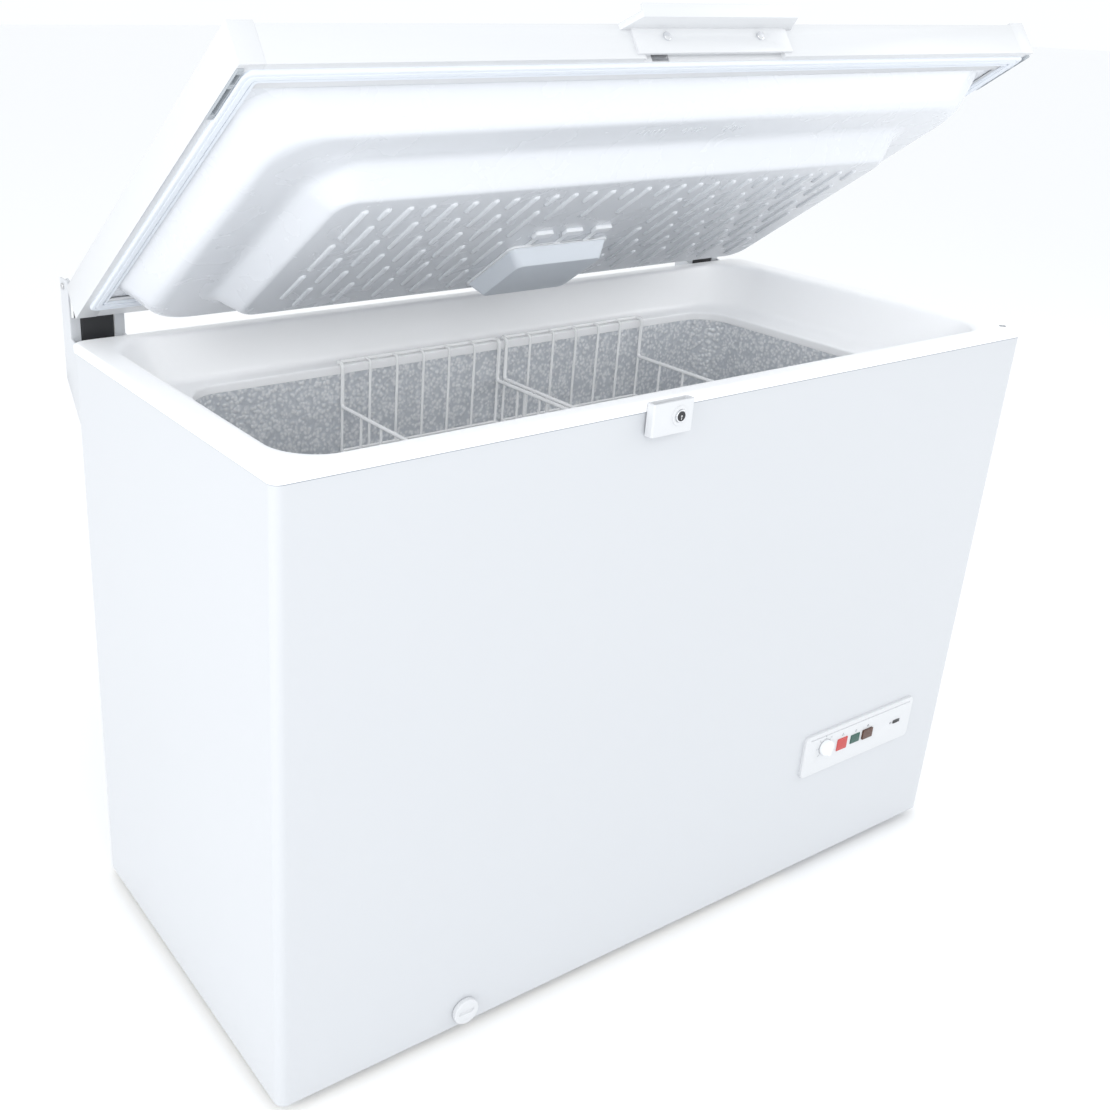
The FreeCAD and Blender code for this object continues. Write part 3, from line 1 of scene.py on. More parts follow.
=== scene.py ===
import json
import math

import bmesh
import bpy
from bpy.props import FloatProperty, FloatVectorProperty, IntProperty, PointerProperty
from mathutils import Matrix, Vector


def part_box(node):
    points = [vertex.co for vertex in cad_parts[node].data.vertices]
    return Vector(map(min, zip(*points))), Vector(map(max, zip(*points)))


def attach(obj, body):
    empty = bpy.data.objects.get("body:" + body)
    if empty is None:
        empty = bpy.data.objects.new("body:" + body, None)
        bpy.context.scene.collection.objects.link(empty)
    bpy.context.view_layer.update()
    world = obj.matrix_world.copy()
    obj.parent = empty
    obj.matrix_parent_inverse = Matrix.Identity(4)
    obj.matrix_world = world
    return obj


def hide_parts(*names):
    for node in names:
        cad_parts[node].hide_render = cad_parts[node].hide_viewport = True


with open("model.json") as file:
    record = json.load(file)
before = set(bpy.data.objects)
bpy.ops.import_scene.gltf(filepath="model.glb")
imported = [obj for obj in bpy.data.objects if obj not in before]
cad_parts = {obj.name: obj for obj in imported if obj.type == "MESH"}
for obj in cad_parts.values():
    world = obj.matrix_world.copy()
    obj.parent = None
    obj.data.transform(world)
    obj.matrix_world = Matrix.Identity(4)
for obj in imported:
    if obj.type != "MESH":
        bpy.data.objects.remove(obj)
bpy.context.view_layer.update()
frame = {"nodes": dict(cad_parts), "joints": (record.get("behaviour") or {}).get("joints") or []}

bl_info = {
    "name": "Chest freezer finish",
    "version": (1, 0, 0),
    "blender": (4, 5, 0),
    "location": "3D View > Sidebar > Freezer",
    "description": "Gives the chest freezer its moulded, pressed and painted surfaces",
    "category": "Object",
}

MM = 0.001
NODES = frame["nodes"]
HINGE = next(j for j in frame["joints"] if j["name"] == "lid_hinge")
SHUT_TO_OPEN = (Matrix.Translation(HINGE["pos_m"])
                @ Matrix.Rotation(math.radians(HINGE["range_deg"][0]), 4, "X")
                @ Matrix.Translation(-Vector(HINGE["pos_m"])))

# rounded-rectangle rings of the CAD model in millimetres: half width, front, back
STEEL = (564.0, -274.5, 233.5)
COLLAR = (531.0, -250.5, 211.5)
COLLAR_FOOT = (498.0, -242.5, 203.5)
MOUTH = (451.0, -218.5, 179.5)
# the same for the lid, with the lid shut
SEAL = (550.0, -276.5, 231.5)
LID_OPENING = (532.0, -246.5, 208.5)
FLAT_OUT = (500.0, -222.5, 203.5)
FLAT_IN = (440.0, -172.5, 169.5)
PLATEAU = (411.0, -143.5, 140.5)
LAMP_SPAN = (-0.098, 0.058)
LAMP_NEAR = 0.0115
# heights above the floor
SHELL_TOP, RIM_TOP, LEDGE, MOUTH_EDGE = 765.0, 777.0, 715.0, 703.0
LID_UNDERSIDE, FLAT_Z, PLATEAU_Z = 781.0, 745.0, 716.0

CAMERA_AT = (-1.0625, -1.2189, 1.1854)
CAMERA_TURN = (-32.89, 23.01, 1.39)
CAMERA_SHIFT = (0.16, -0.03)


# ---------------------------------------------------------------- sizes and colours to change

class FinishSettings(bpy.types.PropertyGroup):
    enamel: FloatVectorProperty(name="Enamel", description="Paint of the outer steel", subtype="COLOR",
                                size=3, min=0, max=1, default=(0.59, 0.607, 0.633))
    plastic: FloatVectorProperty(name="White plastic", description="Lid frame, handle and panel",
                                 subtype="COLOR", size=3, min=0, max=1, default=(0.665, 0.677, 0.695))
    # The rim's white is set far lighter than the same white plastic of the lid frame, handle and panel:
    # painted light that brightens the shaded collar and ledge.
    rim: FloatVectorProperty(name="Rim plastic with painted light", description="Rim, collar and basket ledge",
                             subtype="COLOR", size=3, min=0, max=1, default=(0.96, 0.965, 0.975))
    formed: FloatVectorProperty(name="Formed liner", description="Vacuum-formed sheet inside the lid",
                                subtype="COLOR", size=3, min=0, max=1, default=(0.735, 0.758, 0.795))
    seal: FloatVectorProperty(name="Seal", description="Lid gasket", subtype="COLOR", size=3, min=0,
                              max=1, default=(0.76, 0.80, 0.86))
    aluminium: FloatVectorProperty(name="Tub", description="Embossed aluminium of the tub",
                                   subtype="COLOR", size=3, min=0, max=1, default=(0.93, 0.94, 0.95))
    emboss_pitch: FloatProperty(name="Emboss pitch", description="Size of the tub's pebbled pattern",
                                unit="LENGTH", min=0.001, max=0.02, default=0.0052)
    emboss_depth: FloatProperty(name="Emboss depth", description="Depth of the pebbled pattern",
                                unit="LENGTH", min=0, max=0.002, default=0.0009)
    grain_depth: FloatProperty(name="Mould grain", description="Depth of the fine grain on plastic",
                               unit="LENGTH", min=0, max=0.0005, default=0.000004)


class LidSettings(bpy.types.PropertyGroup):
    step_soft: FloatProperty(name="Step softness", description="Rounding along the liner's steps",
                             unit="LENGTH", min=0.001, max=0.03, default=0.010)
    rib_rise: FloatProperty(name="Rib rise", description="How far a rib stands out of the plateau",
                            unit="LENGTH", min=0.0005, max=0.004, default=0.0026)
    rib_pitch: FloatProperty(name="Rib pitch", description="From one rib to the next, across",
                             unit="LENGTH", min=0.01, max=0.06, default=0.0275)
    rib_run: FloatProperty(name="Rib run", description="A rib and the gap behind it", unit="LENGTH",
                           min=0.03, max=0.2, default=0.078)
    rib_space: FloatProperty(name="Rib gap", description="Gap between ribs in a row", unit="LENGTH",
                             min=0.002, max=0.04, default=0.013)
    rib_width: FloatProperty(name="Rib width", description="Width of a rib", unit="LENGTH",
                             min=0.002, max=0.02, default=0.0088)


class PanelSettings(bpy.types.PropertyGroup):
    numeral: FloatProperty(name="Numeral height", description="Height of the dial's numbers",
                           unit="LENGTH", min=0.001, max=0.01, default=0.0036)
    dial_radius: FloatProperty(name="Dial radius", description="From the knob's middle to its numbers",
                               unit="LENGTH", min=0.01, max=0.04, default=0.0165)
    settings: IntProperty(name="Dial settings", description="Numbers round the dial", min=3, max=9,
                          default=7)
    ink: FloatVectorProperty(name="Ink", description="Print on the panel", subtype="COLOR", size=3,
                             min=0, max=1, default=(0.10, 0.11, 0.13))


class StageSettings(bpy.types.PropertyGroup):
    floor: FloatVectorProperty(name="Floor", description="Floor colour", subtype="COLOR", size=3,
                               min=0, max=1, default=(0.955, 0.96, 0.97))
    sky: FloatProperty(name="Room light", description="Strength of the even white room light", min=0,
                       max=3, default=1.03)
    key: FloatProperty(name="Key light", description="Power of the large side light in watts", min=0,
                       max=500, default=57.0)
    lens: FloatProperty(name="Lens", description="Focal length in millimetres", min=10, max=200,
                        default=41.54)


# ---------------------------------------------------------------- shader groups and materials

def socket(tree, name, kind, direction, default=None):
    made = tree.interface.new_socket(name, in_out=direction, socket_type=kind)
    if default is not None:
        made.default_value = default
    return made


def link_all(tree, *pairs):
    for source, target in pairs:
        tree.links.new(source, target)


def place(tree, kind, **values):
    made = tree.nodes.new(kind)
    for key, value in values.items():
        setattr(made, key, value)
    return made


def math_node(tree, operation, a, b):
    made = place(tree, "ShaderNodeMath", operation=operation)
    for slot_at, value in enumerate((a, b)):
        if isinstance(value, (int, float)):
            made.inputs[slot_at].default_value = value
        else:
            tree.links.new(value, made.inputs[slot_at])
    return made.outputs[0]


def drift_group():
    """Slow change of colour and gloss over a surface, so that no panel is perfectly even."""
    tree = bpy.data.node_groups.new("Surface drift", "ShaderNodeTree")
    socket(tree, "Color", "NodeSocketColor", "INPUT", (0.8, 0.8, 0.8, 1))
    socket(tree, "Patch Scale", "NodeSocketFloat", "INPUT", 3.0)
    socket(tree, "Color Drift", "NodeSocketFloat", "INPUT", 0.02)
    socket(tree, "Roughness", "NodeSocketFloat", "INPUT", 0.4)
    socket(tree, "Roughness Drift", "NodeSocketFloat", "INPUT", 0.06)
    socket(tree, "Color", "NodeSocketColor", "OUTPUT")
    socket(tree, "Roughness", "NodeSocketFloat", "OUTPUT")
    start, end = place(tree, "NodeGroupInput"), place(tree, "NodeGroupOutput")
    where = place(tree, "ShaderNodeTexCoord")
    broad = place(tree, "ShaderNodeTexNoise")
    broad.inputs["Detail"].default_value = 4.0
    smudge = place(tree, "ShaderNodeTexNoise")
    smudge.inputs["Detail"].default_value = 6.0
    smudge.inputs["Distortion"].default_value = 0.6
    link_all(tree, (where.outputs["Object"], broad.inputs["Vector"]),
             (where.outputs["Object"], smudge.inputs["Vector"]),
             (start.outputs["Patch Scale"], broad.inputs["Scale"]))
    tree.links.new(math_node(tree, "MULTIPLY", start.outputs["Patch Scale"], 4.3), smudge.inputs["Scale"])
    shift = math_node(tree, "SUBTRACT", broad.outputs["Fac"], 0.5)
    shade = math_node(tree, "ADD", math_node(tree, "MULTIPLY", shift, start.outputs["Color Drift"]), 1.0)
    tint = place(tree, "ShaderNodeVectorMath", operation="SCALE")
    link_all(tree, (start.outputs["Color"], tint.inputs[0]), (shade, tint.inputs["Scale"]),
             (tint.outputs[0], end.inputs["Color"]))
    rub = math_node(tree, "MULTIPLY", math_node(tree, "SUBTRACT", smudge.outputs["Fac"], 0.5),
                    start.outputs["Roughness Drift"])
    tree.links.new(math_node(tree, "ADD", rub, start.outputs["Roughness"]), end.inputs["Roughness"])
    return tree


def grain_group():
    """Fine spark-eroded grain of a moulding tool, or orange peel of paint, as a height."""
    tree = bpy.data.node_groups.new("Fine grain", "ShaderNodeTree")
    socket(tree, "Scale", "NodeSocketFloat", "INPUT", 900.0)
    socket(tree, "Softness", "NodeSocketFloat", "INPUT", 2.0)
    socket(tree, "Height", "NodeSocketFloat", "OUTPUT")
    start, end = place(tree, "NodeGroupInput"), place(tree, "NodeGroupOutput")
    where = place(tree, "ShaderNodeTexCoord")
    noise = place(tree, "ShaderNodeTexNoise")
    link_all(tree, (where.outputs["Object"], noise.inputs["Vector"]),
             (start.outputs["Scale"], noise.inputs["Scale"]),
             (start.outputs["Softness"], noise.inputs["Detail"]),
             (noise.outputs["Fac"], end.inputs["Height"]))
    return tree


def pebble_group():
    """Stucco embossing: rounded pebbles that run into each other, and the sheet's slow buckling."""
    tree = bpy.data.node_groups.new("Stucco emboss", "ShaderNodeTree")
    socket(tree, "Scale", "NodeSocketFloat", "INPUT", 200.0)
    socket(tree, "Height", "NodeSocketFloat", "OUTPUT")
    # The second output is the cell distance, used as the mask for painted shade in the valleys.
    socket(tree, "Valley Shade", "NodeSocketFloat", "OUTPUT")
    start, end = place(tree, "NodeGroupInput"), place(tree, "NodeGroupOutput")
    where = place(tree, "ShaderNodeTexCoord")
    swirl = place(tree, "ShaderNodeTexNoise")
    swirl.inputs["Detail"].default_value = 1.0
    push = place(tree, "ShaderNodeVectorMath", operation="SCALE")
    push.inputs["Scale"].default_value = 0.0045
    moved = place(tree, "ShaderNodeVectorMath", operation="ADD")
    cells = place(tree, "ShaderNodeTexVoronoi", feature="SMOOTH_F1")
    cells.inputs["Smoothness"].default_value = 0.55
    link_all(tree, (where.outputs["Object"], swirl.inputs["Vector"]),
             (swirl.outputs["Color"], push.inputs[0]),
             (where.outputs["Object"], moved.inputs[0]), (push.outputs[0], moved.inputs[1]),
             (moved.outputs[0], cells.inputs["Vector"]), (start.outputs["Scale"], cells.inputs["Scale"]))
    tree.links.new(math_node(tree, "MULTIPLY", start.outputs["Scale"], 0.7), swirl.inputs["Scale"])
    dome = math_node(tree, "SUBTRACT", 1.0, cells.outputs["Distance"])
    link_all(tree, (dome, end.inputs["Height"]), (cells.outputs["Distance"], end.inputs["Valley Shade"]))
    return tree


def shared(name, maker):
    return bpy.data.node_groups.get(name) or maker()


def use_group(tree, group, **values):
    made = place(tree, "ShaderNodeGroup", node_tree=group)
    for key, value in values.items():
        made.inputs[key.replace("_", " ")].default_value = value
    return made


def finish(name, colour, rough, metallic=0.0, drift=0.03, rough_drift=0.08, patch=3.0,
           grain=0.0, grain_scale=900.0, coat=0.0, transmission=0.0, sheen=0.0):
    """One procedural finish: drifting colour and gloss, with a fine grain where grain is above 0."""
    made = bpy.data.materials.new(name)
    made.use_nodes = True
    tree = made.node_tree
    shader = tree.nodes["Principled BSDF"]
    shader.inputs["Metallic"].default_value = metallic
    shader.inputs["IOR"].default_value = 1.47
    shader.inputs["Transmission Weight"].default_value = transmission
    shader.inputs["Coat Weight"].default_value = coat
    shader.inputs["Coat Roughness"].default_value = 0.12
    shader.inputs["Sheen Weight"].default_value = sheen
    surface = use_group(tree, shared("Surface drift", drift_group), Patch_Scale=patch,
                        Color_Drift=drift, Roughness=rough, Roughness_Drift=rough_drift)
    surface.inputs["Color"].default_value = (*colour, 1)
    link_all(tree, (surface.outputs["Color"], shader.inputs["Base Color"]),
             (surface.outputs["Roughness"], shader.inputs["Roughness"]))
    if grain > 0:
        fine = use_group(tree, shared("Fine grain", grain_group), Scale=grain_scale)
        bump = place(tree, "ShaderNodeBump")
        bump.inputs["Distance"].default_value = grain
        link_all(tree, (fine.outputs["Height"], bump.inputs["Height"]),
                 (bump.outputs["Normal"], shader.inputs["Normal"]))
    return made


def stucco(name, colour, pitch, depth):
    """Bright mill aluminium with an embossed pebble pattern, its colour darkened in the valleys as painted
    shade.
    """
    made = finish(name, colour, 0.34, metallic=0.32, drift=0.10, rough_drift=0.10, patch=5.0)
    tree = made.node_tree
    shader = tree.nodes["Principled BSDF"]
    pebbles = use_group(tree, shared("Stucco emboss", pebble_group), Scale=1.0 / pitch)
    bump = place(tree, "ShaderNodeBump")
    bump.inputs["Strength"].default_value = 1.0
    bump.inputs["Distance"].default_value = depth
    # The valleys of the pebbles get a darker base colour: painted shade in the emboss's hollows.
    valley = place(tree, "ShaderNodeMapRange")
    valley.inputs["From Min"].default_value = 0.18
    valley.inputs["From Max"].default_value = 0.62
    shade = place(tree, "ShaderNodeMix", data_type="RGBA", blend_type="MULTIPLY")
    shade.inputs["B"].default_value = (0.70, 0.72, 0.75, 1)
    even = shader.inputs["Base Color"].links[0].from_socket
    link_all(tree, (pebbles.outputs["Height"], bump.inputs["Height"]),
             (bump.outputs["Normal"], shader.inputs["Normal"]),
             (pebbles.outputs["Valley Shade"], valley.inputs["Value"]),
             (valley.outputs["Result"], shade.inputs["Factor"]), (even, shade.inputs["A"]),
             (shade.outputs["Result"], shader.inputs["Base Color"]))
    return made


def spangle(name, colour):
    """Hot-dip zinc: grey crystals of slightly different brightness and gloss."""
    made = finish(name, colour, 0.42, metallic=1.0, drift=0.06, rough_drift=0.12, patch=4.0)
    tree = made.node_tree
    shader = tree.nodes["Principled BSDF"]
    where = place(tree, "ShaderNodeTexCoord")
    cells = place(tree, "ShaderNodeTexVoronoi")
    cells.inputs["Scale"].default_value = 110.0
    ramp = place(tree, "ShaderNodeValToRGB")
    ramp.color_ramp.elements[0].color = (*(c * 0.78 for c in colour), 1)
    ramp.color_ramp.elements[1].color = (*(min(1, c * 1.18) for c in colour), 1)
    grey = place(tree, "ShaderNodeSeparateColor")
    link_all(tree, (where.outputs["Object"], cells.inputs["Vector"]),
             (cells.outputs["Color"], grey.inputs["Color"]), (grey.outputs[0], ramp.inputs["Fac"]),
             (ramp.outputs["Color"], shader.inputs["Base Color"]))
    return made


def lens(name, colour, pitch=0.0011):
    """Moulded signal lens with rows of tiny pyramids behind a glossy face."""
    made = finish(name, colour, 0.34, drift=0.10, rough_drift=0.05, patch=60.0, coat=0.25)
    tree = made.node_tree
    shader = tree.nodes["Principled BSDF"]
    where = place(tree, "ShaderNodeTexCoord")
    waves = []
    for direction in ("X", "Z"):
        wave = place(tree, "ShaderNodeTexWave", wave_type="BANDS", bands_direction=direction,
                     wave_profile="TRI")
        wave.inputs["Scale"].default_value = 0.314 / pitch
        tree.links.new(where.outputs["Object"], wave.inputs["Vector"])
        waves.append(wave.outputs["Fac"])
    bump = place(tree, "ShaderNodeBump")
    bump.inputs["Distance"].default_value = 0.00012
    link_all(tree, (math_node(tree, "ADD", *waves), bump.inputs["Height"]),
             (bump.outputs["Normal"], shader.inputs["Normal"]))
    return made


def paint(material, *names):
    for name in names:
        held = NODES[name].data.materials
        held.clear()
        held.append(material)


def kept(name, maker):
    return bpy.data.materials.get(name) or maker()


def white_plastic():
    s = bpy.context.scene.freezer_finish
    return kept("Moulded white plastic", lambda: finish(
        "Moulded white plastic", s.plastic, 0.36, drift=0.02, rough_drift=0.10, patch=2.5,
        grain=s.grain_depth, grain_scale=1100.0, coat=0.12))


# The same white plastic as the lid frame, made lighter as painted light for the shaded collar and ledge.
def rim_plastic():
    s = bpy.context.scene.freezer_finish
    return kept("Moulded rim plastic with painted light", lambda: finish(
        "Moulded rim plastic with painted light", s.rim, 0.36, drift=0.02, rough_drift=0.10, patch=2.5,
        grain=s.grain_depth, grain_scale=1100.0, coat=0.12))


def enamel():
    s = bpy.context.scene.freezer_finish
    return kept("White enamel", lambda: finish(
        "White enamel", s.enamel, 0.32, drift=0.018, rough_drift=0.08, patch=1.8,
        grain=0.000012, grain_scale=160.0, coat=0.2))


def formed_sheet():
    s = bpy.context.scene.freezer_finish
    return kept("Formed glossy sheet", lambda: finish(
        "Formed glossy sheet", s.formed, 0.27, drift=0.02, rough_drift=0.08, patch=4.0,
        grain=0.000003, grain_scale=45.0, coat=0.2))


def zinc():
    return kept("Zinc-coated sheet", lambda: spangle("Zinc-coated sheet", (0.60, 0.62, 0.64)))


def bright_steel():
    return kept("Bright steel", lambda: finish(
        "Bright steel", (0.62, 0.62, 0.63), 0.22, metallic=1.0, drift=0.08, patch=40.0,
        grain=0.000006, grain_scale=1800.0))


def chrome():
    return kept("Chrome plate", lambda: finish(
        "Chrome plate", (0.80, 0.81, 0.83), 0.09, metallic=1.0, drift=0.03, rough_drift=0.05, patch=60.0))


def black_plastic():
    return kept("Black moulding", lambda: finish(
        "Black moulding", (0.022, 0.023, 0.026), 0.42, drift=0.3, rough_drift=0.12, patch=20.0,
        grain=0.00003, grain_scale=1200.0))


def copper():
    return kept("Drawn copper", lambda: finish(
        "Drawn copper", (0.75, 0.42, 0.28), 0.30, metallic=1.0, drift=0.30, rough_drift=0.20, patch=14.0,
        grain=0.00001, grain_scale=1500.0))


def rubber():
    return kept("Black rubber", lambda: finish(
        "Black rubber", (0.028, 0.028, 0.030), 0.68, drift=0.3, patch=20.0, grain=0.00005,
        grain_scale=1500.0))


# ---------------------------------------------------------------- mesh helpers

def new_piece(name, mesh, body, material=None, replaces=()):
    piece = bpy.data.objects.new(name, mesh)
    bpy.context.scene.collection.objects.link(piece)
    if material is not None:
        mesh.materials.clear()
        mesh.materials.append(material)
    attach(piece, body)
    if replaces:
        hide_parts(*replaces)
    return piece


def smooth(mesh, angle=35.0):
    mesh.shade_smooth()
    mesh.set_sharp_from_angle(angle=math.radians(angle))


def softened(node, body, material, width, steps=3, angle=30.0):
    """The CAD solid with its hard edges rolled over, as moulding and pressing leave them."""
    shape = bmesh.new()
    shape.from_mesh(NODES[node].data)
    bmesh.ops.remove_doubles(shape, verts=shape.verts, dist=0.00002)
    bmesh.ops.dissolve_limit(shape, angle_limit=math.radians(0.4), verts=shape.verts, edges=shape.edges)
    limit = math.radians(angle)
    hard = [e for e in shape.edges if len(e.link_faces) == 2 and e.calc_face_angle(0.0) > limit]
    bmesh.ops.bevel(shape, geom=hard, offset=width, offset_type="OFFSET", segments=steps, profile=0.5,
                    affect="EDGES", clamp_overlap=True)
    bmesh.ops.triangulate(shape, faces=[f for f in shape.faces if len(f.verts) > 4])
    mesh = bpy.data.meshes.new(node + "_soft")
    shape.to_mesh(mesh)
    shape.free()
    smooth(mesh)
    return new_piece(node + "_soft", mesh, body, material, (node,))


def ring_points(side, front, back, radius, z, per_corner=14):
    """Rounded rectangle at height z, always the same number of points in the same order."""
    points = []
    for cx, cy, start in ((side - radius, back - radius, 0), (-side + radius, back - radius, 90),
                          (-side + radius, front + radius, 180), (side - radius, front + radius, 270)):
        for i in range(per_corner + 1):
            turn = math.radians(start + 90 * i / per_corner)
            points.append(Vector((cx + radius * math.cos(turn), cy + radius * math.sin(turn), z)) * MM)
    return points


def grown(ring, by):
    """A ring of half width, front and back, moved out by so many millimetres."""
    side, front, back = ring
    return side + by, front - by, back + by


def rolled(stations, steps=6):
    """Stations (side, front, back, radius, z, roll): each corner between two runs rolled over by
    roll millimetres."""
    rows = [stations[0][:5]]
    for before, here, after in zip(stations, stations[1:], stations[2:]):
        roll = here[5]
        spans = []
        for other in (before, after):
            gap = max(math.hypot(other[1] - here[1], other[4] - here[4]), 1e-6)
            share = min(roll / gap, 0.48)
            spans.append([h + (o - h) * share for h, o in zip(here[:5], other[:5])])
        for i in range(steps + 1):
            t = i / steps
            rows.append([(1 - t) ** 2 * a + 2 * t * (1 - t) * h + t * t * b
                         for a, h, b in zip(spans[0], here[:5], spans[1])])
    rows.append(stations[-1][:5])
    return rows


def ring_skin(name, stations, capped=False, matrix=None, per_corner=14):
    """A sheet through rounded-rectangle rings; capped closes the last ring."""
    rows = rolled(stations)
    shape = bmesh.new()
    rings = [[shape.verts.new(p) for p in ring_points(*row, per_corner=per_corner)] for row in rows]
    for low, high in zip(rings, rings[1:]):
        for i in range(len(low)):
            j = (i + 1) % len(low)
            shape.faces.new((low[i], low[j], high[j], high[i]))
    if capped:
        shape.faces.new(rings[-1])
    bmesh.ops.recalc_face_normals(shape, faces=shape.faces)
    mesh = bpy.data.meshes.new(name)
    shape.to_mesh(mesh)
    shape.free()
    if matrix is not None:
        mesh.transform(matrix)
    mesh.shade_smooth()
    return mesh


def pill(shape, x, near, far, wide, base_z, rise, matrix, points=7):
    """A soft-topped bar with round ends that stands out of a surface, along Y."""
    half = wide / 2
    rings = []
    for inset, out in ((0.0, -0.0006), (0.0, 0.12 * rise), (0.14 * wide, 0.72 * rise),
                       (0.32 * wide, rise)):
        r = half - inset
        ring = []
        for centre, start in ((far - half, 0), (near + half, 180)):
            for i in range(points):
                turn = math.radians(start + 180 * i / (points - 1))
                ring.append(shape.verts.new(matrix @ Vector((
                    x + r * math.cos(turn), centre + r * math.sin(turn), base_z - out))))
        rings.append(ring)
    for low, high in zip(rings, rings[1:]):
        for i in range(len(low)):
            j = (i + 1) % len(low)
            shape.faces.new((low[i], high[i], high[j], low[j]))
    shape.faces.new(rings[-1][::-1])


def bar_on_wall(shape, x, z, wide, high, face_y, rise, turn=0.0):
    """A thin printed bar on a wall that faces -Y."""
    corners = []
    for a, b in ((-1, -1), (1, -1), (1, 1), (-1, 1)):
        dx, dz = a * wide / 2, b * high / 2
        corners.append((x + dx * math.cos(turn) - dz * math.sin(turn),
                        z + dx * math.sin(turn) + dz * math.cos(turn)))
    front = [shape.verts.new((cx, face_y - rise, cz)) for cx, cz in corners]
    back = [shape.verts.new((cx, face_y + rise, cz)) for cx, cz in corners]
    shape.faces.new(front)
    for i in range(4):
        j = (i + 1) % 4
        shape.faces.new((front[i], back[i], back[j], front[j]))


def disc_on_wall(shape, x, z, inner, outer, face_y, rise, points=36, start=0.0, end=360.0):
    """A printed or moulded ring on a wall that faces -Y, or part of one."""
    rows = []
    for i in range(points + 1):
        turn = math.radians(start + (end - start) * i / points)
        rows.append([shape.verts.new((x + r * math.cos(turn), face_y + dy, z + r * math.sin(turn)))
                     for r, dy in ((outer, rise), (outer, -rise), (inner, -rise), (inner, rise))])
    for a, b in zip(rows, rows[1:]):
        for i in range(3):
            shape.faces.new((a[i], a[i + 1], b[i + 1], b[i]))


def mesh_of(shape, name, angle=35.0):
    bmesh.ops.recalc_face_normals(shape, faces=shape.faces)
    mesh = bpy.data.meshes.new(name)
    shape.to_mesh(mesh)
    shape.free()
    smooth(mesh, angle)
    return mesh


# ---------------------------------------------------------------- operators

class FREEZER_OT_cabinet(bpy.types.Operator):
    """Paint the outer steel, zinc back and base, feet, foam and gland"""
    bl_idname = "freezer.cabinet"
    bl_label = "Finish the cabinet"

    def execute(self, context):
        paint(enamel(), "outer_wrap")
        paint(zinc(), "back_panel", "base_tray", "bay_lining")
        paint(black_plastic(), "feet")
        paint(rubber(), "cord_inlet_gland")
        paint(finish("Rigid foam", (0.80, 0.66, 0.38), 0.85, drift=0.25, patch=9.0, grain=0.0004,
                     grain_scale=500.0), "foam_insulation", "lid_foam")
        # A thin dark bead just under the rim's band: the joint between rim and steel, darkened as painted
        # shade under the band's overhang.
        inner, outer, round_off = grown(STEEL, -0.4), grown(STEEL, 0.2), 12
        joint_shade = ring_skin("rim_joint_shade", [
            (*inner, round_off, SHELL_TOP - 0.1, 0), (*outer, round_off, SHELL_TOP - 0.2, 0.1),
            (*outer, round_off, SHELL_TOP - 1.1, 0.1), (*inner, round_off, SHELL_TOP - 1.2, 0)])
        new_piece("rim_joint_shade", joint_shade, "cabinet",
                  finish("Seam shadow bead", (0.30, 0.33, 0.38), 0.6, drift=0.1, patch=8.0))
        return {"FINISHED"}


class FREEZER_OT_rim(bpy.types.Operator):
    """Mould the rim: rounded band, flat top, deep collar, ledge and lip"""
    bl_idname = "freezer.rim"
    bl_label = "Mould the rim"

    def execute(self, context):
        band = grown(STEEL, 1.5)
        stations = [(*grown(STEEL, -3), 9, SHELL_TOP + 0.3, 0), (*band, 12, SHELL_TOP, 0.8),
                    (*band, 12, RIM_TOP, 4.2), (*COLLAR, 60, RIM_TOP, 6.0),
                    (*COLLAR_FOOT, 60, LEDGE, 9.0), (*MOUTH, 48, LEDGE, 3.2),
                    (*MOUTH, 48, MOUTH_EDGE, 0.8), (*grown(MOUTH, 1.5), 49, MOUTH_EDGE, 0)]
        new_piece("rim_moulding", ring_skin("rim_moulding", stations, per_corner=20), "cabinet",
                  rim_plastic(), ("rim_frame",))
        # A small dark grey ring with a shallow recess on the rim near its right front corner, standing for a
        # faint dark mark near the collar's corner.
        shape = bmesh.new()
        centre = Vector((0.5435, -0.2568, RIM_TOP * MM))
        inner, outer, dip, rise = 0.0021, 0.0042, 0.0004, 0.0002
        rows = []
        for i in range(25):
            turn = math.tau * i / 24
            way = Vector((math.cos(turn), math.sin(turn), 0))
            rows.append([shape.verts.new(centre + way * r + Vector((0, 0, dz))) for r, dz in
                         ((outer + 0.0006, -0.0005), (outer, rise), (inner, rise), (inner, -dip))])
        for a, b in zip(rows, rows[1:]):
            for i in range(3):
                shape.faces.new((a[i], a[i + 1], b[i + 1], b[i]))
        shape.faces.new([r[3] for r in rows[:-1]])
        new_piece("rim_dark_ring", mesh_of(shape, "rim_dark_ring"), "cabinet",
                  finish("Dark grey ring", (0.22, 0.24, 0.27), 0.5, drift=0.1, patch=60.0))
        return {"FINISHED"}


class FREEZER_OT_tub(bpy.types.Operator):
    """Emboss the aluminium tub"""
    bl_idname = "freezer.tub"
    bl_label = "Emboss the tub"

    def execute(self, context):
        s = context.scene.freezer_finish
        paint(stucco("Embossed aluminium", s.aluminium, s.emboss_pitch, s.emboss_depth), "inner_liner")
        paint(copper(), "evaporator_tube", "condenser_tube")
        return {"FINISHED"}


class FREEZER_OT_baskets(bpy.types.Operator):
    """Coat the wire baskets"""
    bl_idname = "freezer.baskets"
    bl_label = "Coat the baskets"

    def execute(self, context):
        coated = finish("Coated wire", (0.96, 0.965, 0.97), 0.25, drift=0.05, rough_drift=0.08, patch=30.0,
                        coat=0.4)
        paint(coated, "basket_left", "basket_right")
        return {"FINISHED"}


